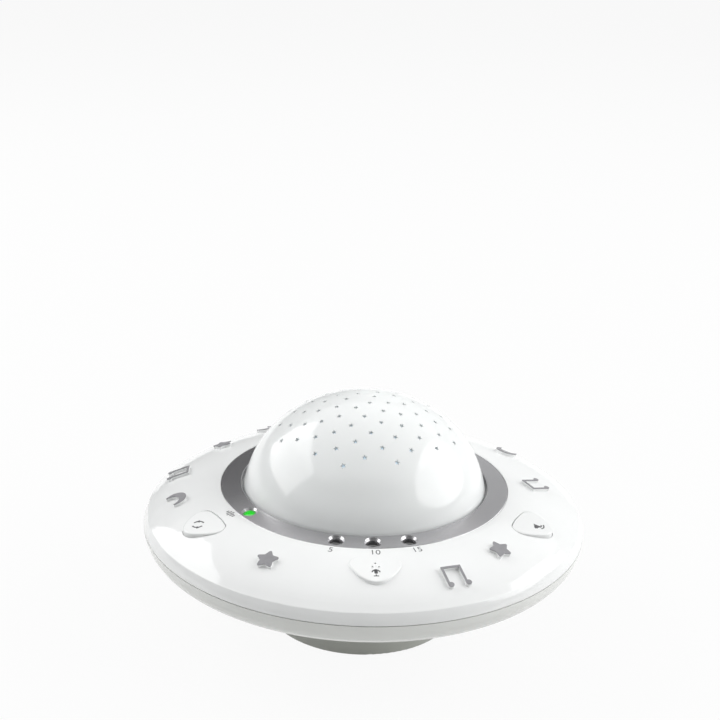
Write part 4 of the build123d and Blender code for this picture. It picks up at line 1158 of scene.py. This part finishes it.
@dataclass
class StarDome(SubAssembly):
    """The dome with its star windows, the diffuser inside, and the lamp below."""

    worn = {
        "dome_cover": Part.DOME_WHITE,
        "dome_liner": Part.WINDOW_DIFFUSER,
        "lamp_carrier": Part.CARRIER_WHITE,
        "lamp_board": Part.BOARD_GREEN,
        "lamp_led": Part.LAMP_LENS,
        "lamp_hood": Part.HOOD_BLACK,
        "lamp_leads": Part.LEAD_SLEEVE,
        "lamp_screws": Part.SCREW_STEEL,
        "carrier_screws": Part.SCREW_STEEL,
    }


@dataclass
class LightRing(SubAssembly):
    """The silver trim ring with the indicator lights below it."""

    worn = {
        "trim_ring": Part.SILVER_TRIM,
        "status_led": Part.GREEN_LIGHT,
        "timer_leds": Part.DARK_LIGHT,
        "led_spacers": Part.BLACK_PLASTIC,
    }


@dataclass
class KeyDeck(SubAssembly):
    """The two push keys, their board and switches, and the microphone."""

    mode_offset: float = -62.3
    volume_offset: float = 61.9
    mark_radius: float = 78.4 * MM

    worn = {
        "mode_key": Part.KEY_WHITE,
        "volume_key": Part.KEY_WHITE,
        "mode_plunger": Part.BLACK_PLASTIC,
        "volume_plunger": Part.BLACK_PLASTIC,
        "key_switches": Part.BLACK_PLASTIC,
        "key_board": Part.BOARD_GREEN,
        "key_board_screws": Part.SCREW_STEEL,
        "key_leads": Part.LEAD_SLEEVE,
        "mic_boot": Part.RUBBER_BLACK,
        "mic_capsule": Part.MIC_METAL,
    }

    def build(self) -> list[bpy.types.Object]:
        """Prints the keys' marks, which travel with them.

        Returns:
            The prints.
        """
        marks: list[Mark] = [
            CycleMark("mode_mark", self.mode_offset, self.mark_radius, "mode_key", "mode_button"),
            SpeakerMark("volume_mark", self.volume_offset, self.mark_radius, "volume_key", "volume_button"),
        ]
        return [mark.build() for mark in marks]


@dataclass
class LowerCase(SubAssembly):
    """The lower shell, its feet and screws, and the battery bay."""

    worn = {
        "lower_shell": Part.WHITE_UNDERSIDE,
        "battery_door": Part.WHITE_UNDERSIDE,
        "rubber_feet": Part.RUBBER_GREY,
        "case_screws": Part.SCREW_STEEL,
        "battery_door_screws": Part.SCREW_STEEL,
        "battery_contacts": Part.CONTACT_NICKEL,
        "battery_springs": Part.CONTACT_NICKEL,
        "battery_cells": Part.CELL_WRAP,
        "battery_leads": Part.LEAD_SLEEVE,
    }


@dataclass
class SoundAndPower(SubAssembly):
    """The main board, the loudspeaker and the power switch."""

    worn = {
        "main_board": Part.BOARD_GREEN,
        "board_parts": Part.CHIP_BLACK,
        "main_board_screws": Part.SCREW_STEEL,
        "speaker_frame": Part.SPEAKER_STEEL,
        "speaker_magnet": Part.MAGNET_DARK,
        "speaker_cone": Part.CONE_PAPER,
        "speaker_screws": Part.SCREW_STEEL,
        "speaker_leads": Part.LEAD_SLEEVE,
        "slide_switch": Part.BLACK_PLASTIC,
        "slide_knob": Part.BLACK_PLASTIC,
    }


@dataclass(frozen=True)
class Softbox:
    """One studio light, aimed at the object.

    Angles are in degrees: the offset from the front, positive towards +X, and the height over the floor.
    """

    name: str
    offset: float
    height: float
    distance: float
    width: float
    length: float
    radiance: float
    oval: bool = False

    def build(self, target: Vector) -> None:
        """Hangs the light.

        Args:
            target: What it points at.
        """
        turn, lift = math.radians(self.offset), math.radians(self.height)
        out = Vector((math.sin(turn) * math.cos(lift), -math.cos(turn) * math.cos(lift), math.sin(lift)))
        lamp = bpy.data.lights.new(self.name, "AREA")
        lamp.shape = "ELLIPSE" if self.oval else "RECTANGLE"
        lamp.size, lamp.size_y = self.width, self.length
        area = self.width * self.length * (math.pi / 4 if self.oval else 1.0)
        lamp.energy = self.radiance * math.pi * area
        holder = bpy.data.objects.new(self.name, lamp)
        holder.location = target + out * self.distance
        holder.rotation_euler = out.to_track_quat("Z", "Y").to_euler()
        bpy.context.scene.collection.objects.link(holder)


@dataclass
class Studio:
    """Pale floor, soft lights and the camera at the photograph's viewpoint.

    Each turn and rise holds two places on an axis of the room's direction, between which two tones blend.
    """

    floor_size: float = 24.0
    floor_colour: Colour = (0.64, 0.645, 0.64)
    floor_white: float = 0.93
    floor_roughness: float = 0.9
    floor_specular: float = 0.1
    mottle_size: float = 0.2
    mottle_tone: float = 0.985
    back_left: Colour = (0.1, 0.1, 0.103)
    back_right: Colour = (0.62, 0.63, 0.63)
    front_low: Colour = (0.24, 0.242, 0.24)
    front_wall: Colour = (0.66, 0.665, 0.66)
    ceiling: Colour = (0.14, 0.142, 0.142)
    back_turn: Pair = (-0.06, 0.12)
    front_rise: Pair = (0.15, 0.5)
    wall_turn: Pair = (-0.45, 0.15)
    ceiling_rise: Pair = (0.4, 0.62)
    camera_turn: float = -4.1
    camera_height: float = 25.867
    camera_distance: float = 0.55
    aim_pitch: float = 18.882
    aim_yaw: float = -0.411
    roll: float = -1.746
    focal_length: float = 62.257
    sensor_width: float = 36.0
    clip: Pair = (0.01, 60.0)
    parting_height: float = 46.5 * MM
    lights: tuple[Softbox, ...] = (
        Softbox("left_softbox", -109.0, 32.0, 1.6, width=1.75, length=1.05, radiance=3.0),
        Softbox("right_softbox", 88.0, 27.0, 1.6, width=2.1, length=1.3, radiance=3.15, oval=True),
        Softbox("overhead_panel", 176.0, 80.0, 2.0, width=4.4, length=4.2, radiance=0.76),
    )

    def floor(self) -> None:
        """Lays the pale floor, which keeps the object's shadow."""
        Bench.clear()
        bpy.ops.mesh.primitive_plane_add(size=self.floor_size, location=(0.0, 0.0, 0.0))
        plane = bpy.context.object
        plane.name = "studio_floor"
        graph = SurfaceGraph("studio_floor")
        dim = scaled(self.floor_colour, self.mottle_tone)
        graph.shade(base_color=graph.blend(graph.noise(self.mottle_size), self.floor_colour, dim))
        graph.shade(roughness=self.floor_roughness, specular_ior_level=self.floor_specular)
        white = graph.node("ShaderNodeEmission", None, {"Color": (1.0, 1.0, 1.0), "Strength": 1.0})
        rays = graph.node("ShaderNodeLightPath").outputs
        camera, glossy, through = (
            Reading(graph, rays[f"Is {kind} Ray"]) for kind in ("Camera", "Glossy", "Transmission")
        )
        seen = graph.maths("MAXIMUM", graph.maths("MAXIMUM", camera, glossy), through)
        mixed = graph.node(
            "ShaderNodeMixShader", None,
            {0: seen * self.floor_white, 1: graph.surface.outputs["BSDF"], 2: white.outputs["Emission"]},
        )
        graph.feed(graph.output.inputs["Surface"], mixed.outputs[0])
        plane.data.materials.append(graph.material)

    def room(self) -> None:
        """Gives the room pale walls and a ceiling, each with its own brightness."""
        world = bpy.data.worlds.new("studio_room")
        bpy.context.scene.world = world
        world.use_nodes = True
        graph = Graph(world.node_tree, "Generated")
        across, forward, up = graph.axis("X"), graph.axis("Y"), graph.axis("Z")
        back = graph.blend(across.ramp(*self.back_turn), self.back_left, self.back_right)
        front = graph.blend(up.ramp(*self.front_rise), self.front_low, self.front_wall)
        walls = graph.blend(forward.ramp(*self.wall_turn), front, back)
        colour = graph.blend(up.ramp(*self.ceiling_rise), walls, self.ceiling)
        background = graph.node("ShaderNodeBackground", None, {"Color": colour})
        graph.node("ShaderNodeOutputWorld", None, {"Surface": background.outputs[0]})

    def camera(self) -> None:
        """Sets the camera where the photograph was taken from."""
        turn = Matrix.Rotation(math.radians(self.camera_turn), 3, "Z")
        height = math.radians(self.camera_height)
        pitch, yaw, roll = (math.radians(a) for a in (self.aim_pitch, self.aim_yaw, self.roll))
        place = Vector((0.0, -math.cos(height), math.sin(height))) * self.camera_distance
        forward = Vector((math.sin(yaw) * math.cos(pitch), math.cos(yaw) * math.cos(pitch), -math.sin(pitch)))
        right = Vector((math.cos(yaw), -math.sin(yaw), 0.0))
        down = forward.cross(right)
        rolled_right = right * math.cos(roll) + down * math.sin(roll)
        rolled_down = down * math.cos(roll) - right * math.sin(roll)
        axes = Matrix((turn @ rolled_right, turn @ -rolled_down, turn @ -forward)).transposed().to_4x4()
        lens = bpy.data.cameras.new("photo_camera")
        lens.lens = self.focal_length
        lens.sensor_width = self.sensor_width
        lens.clip_start, lens.clip_end = self.clip
        holder = bpy.data.objects.new("photo_camera", lens)
        middle = Vector((0.0, 0.0, self.parting_height))
        holder.matrix_world = Matrix.Translation(turn @ place + middle) @ axes
        bpy.context.scene.collection.objects.link(holder)
        bpy.context.scene.camera = holder

    def build(self) -> None:
        """Sets up the floor, the room, the lights and the camera."""
        self.floor()
        self.room()
        target = Vector((0.0, 0.0, self.parting_height))
        for light in self.lights:
            light.build(target)
        self.camera()
        bpy.context.scene.view_settings.view_transform = "Standard"


def main() -> None:
    """Sets up the studio, then dresses the sub-assemblies and builds their prints, in order."""
    logging.basicConfig(level=logging.INFO, format="%(name)s: %(message)s")
    Studio().build()
    for assembly in (UpperCase(), StarDome(), LightRing(), KeyDeck(), LowerCase(), SoundAndPower()):
        assembly.dress()
        for piece in assembly.build():
            log.info("%s built, %d faces", piece.name, len(piece.data.polygons))


if __name__ == "__main__":
    main()
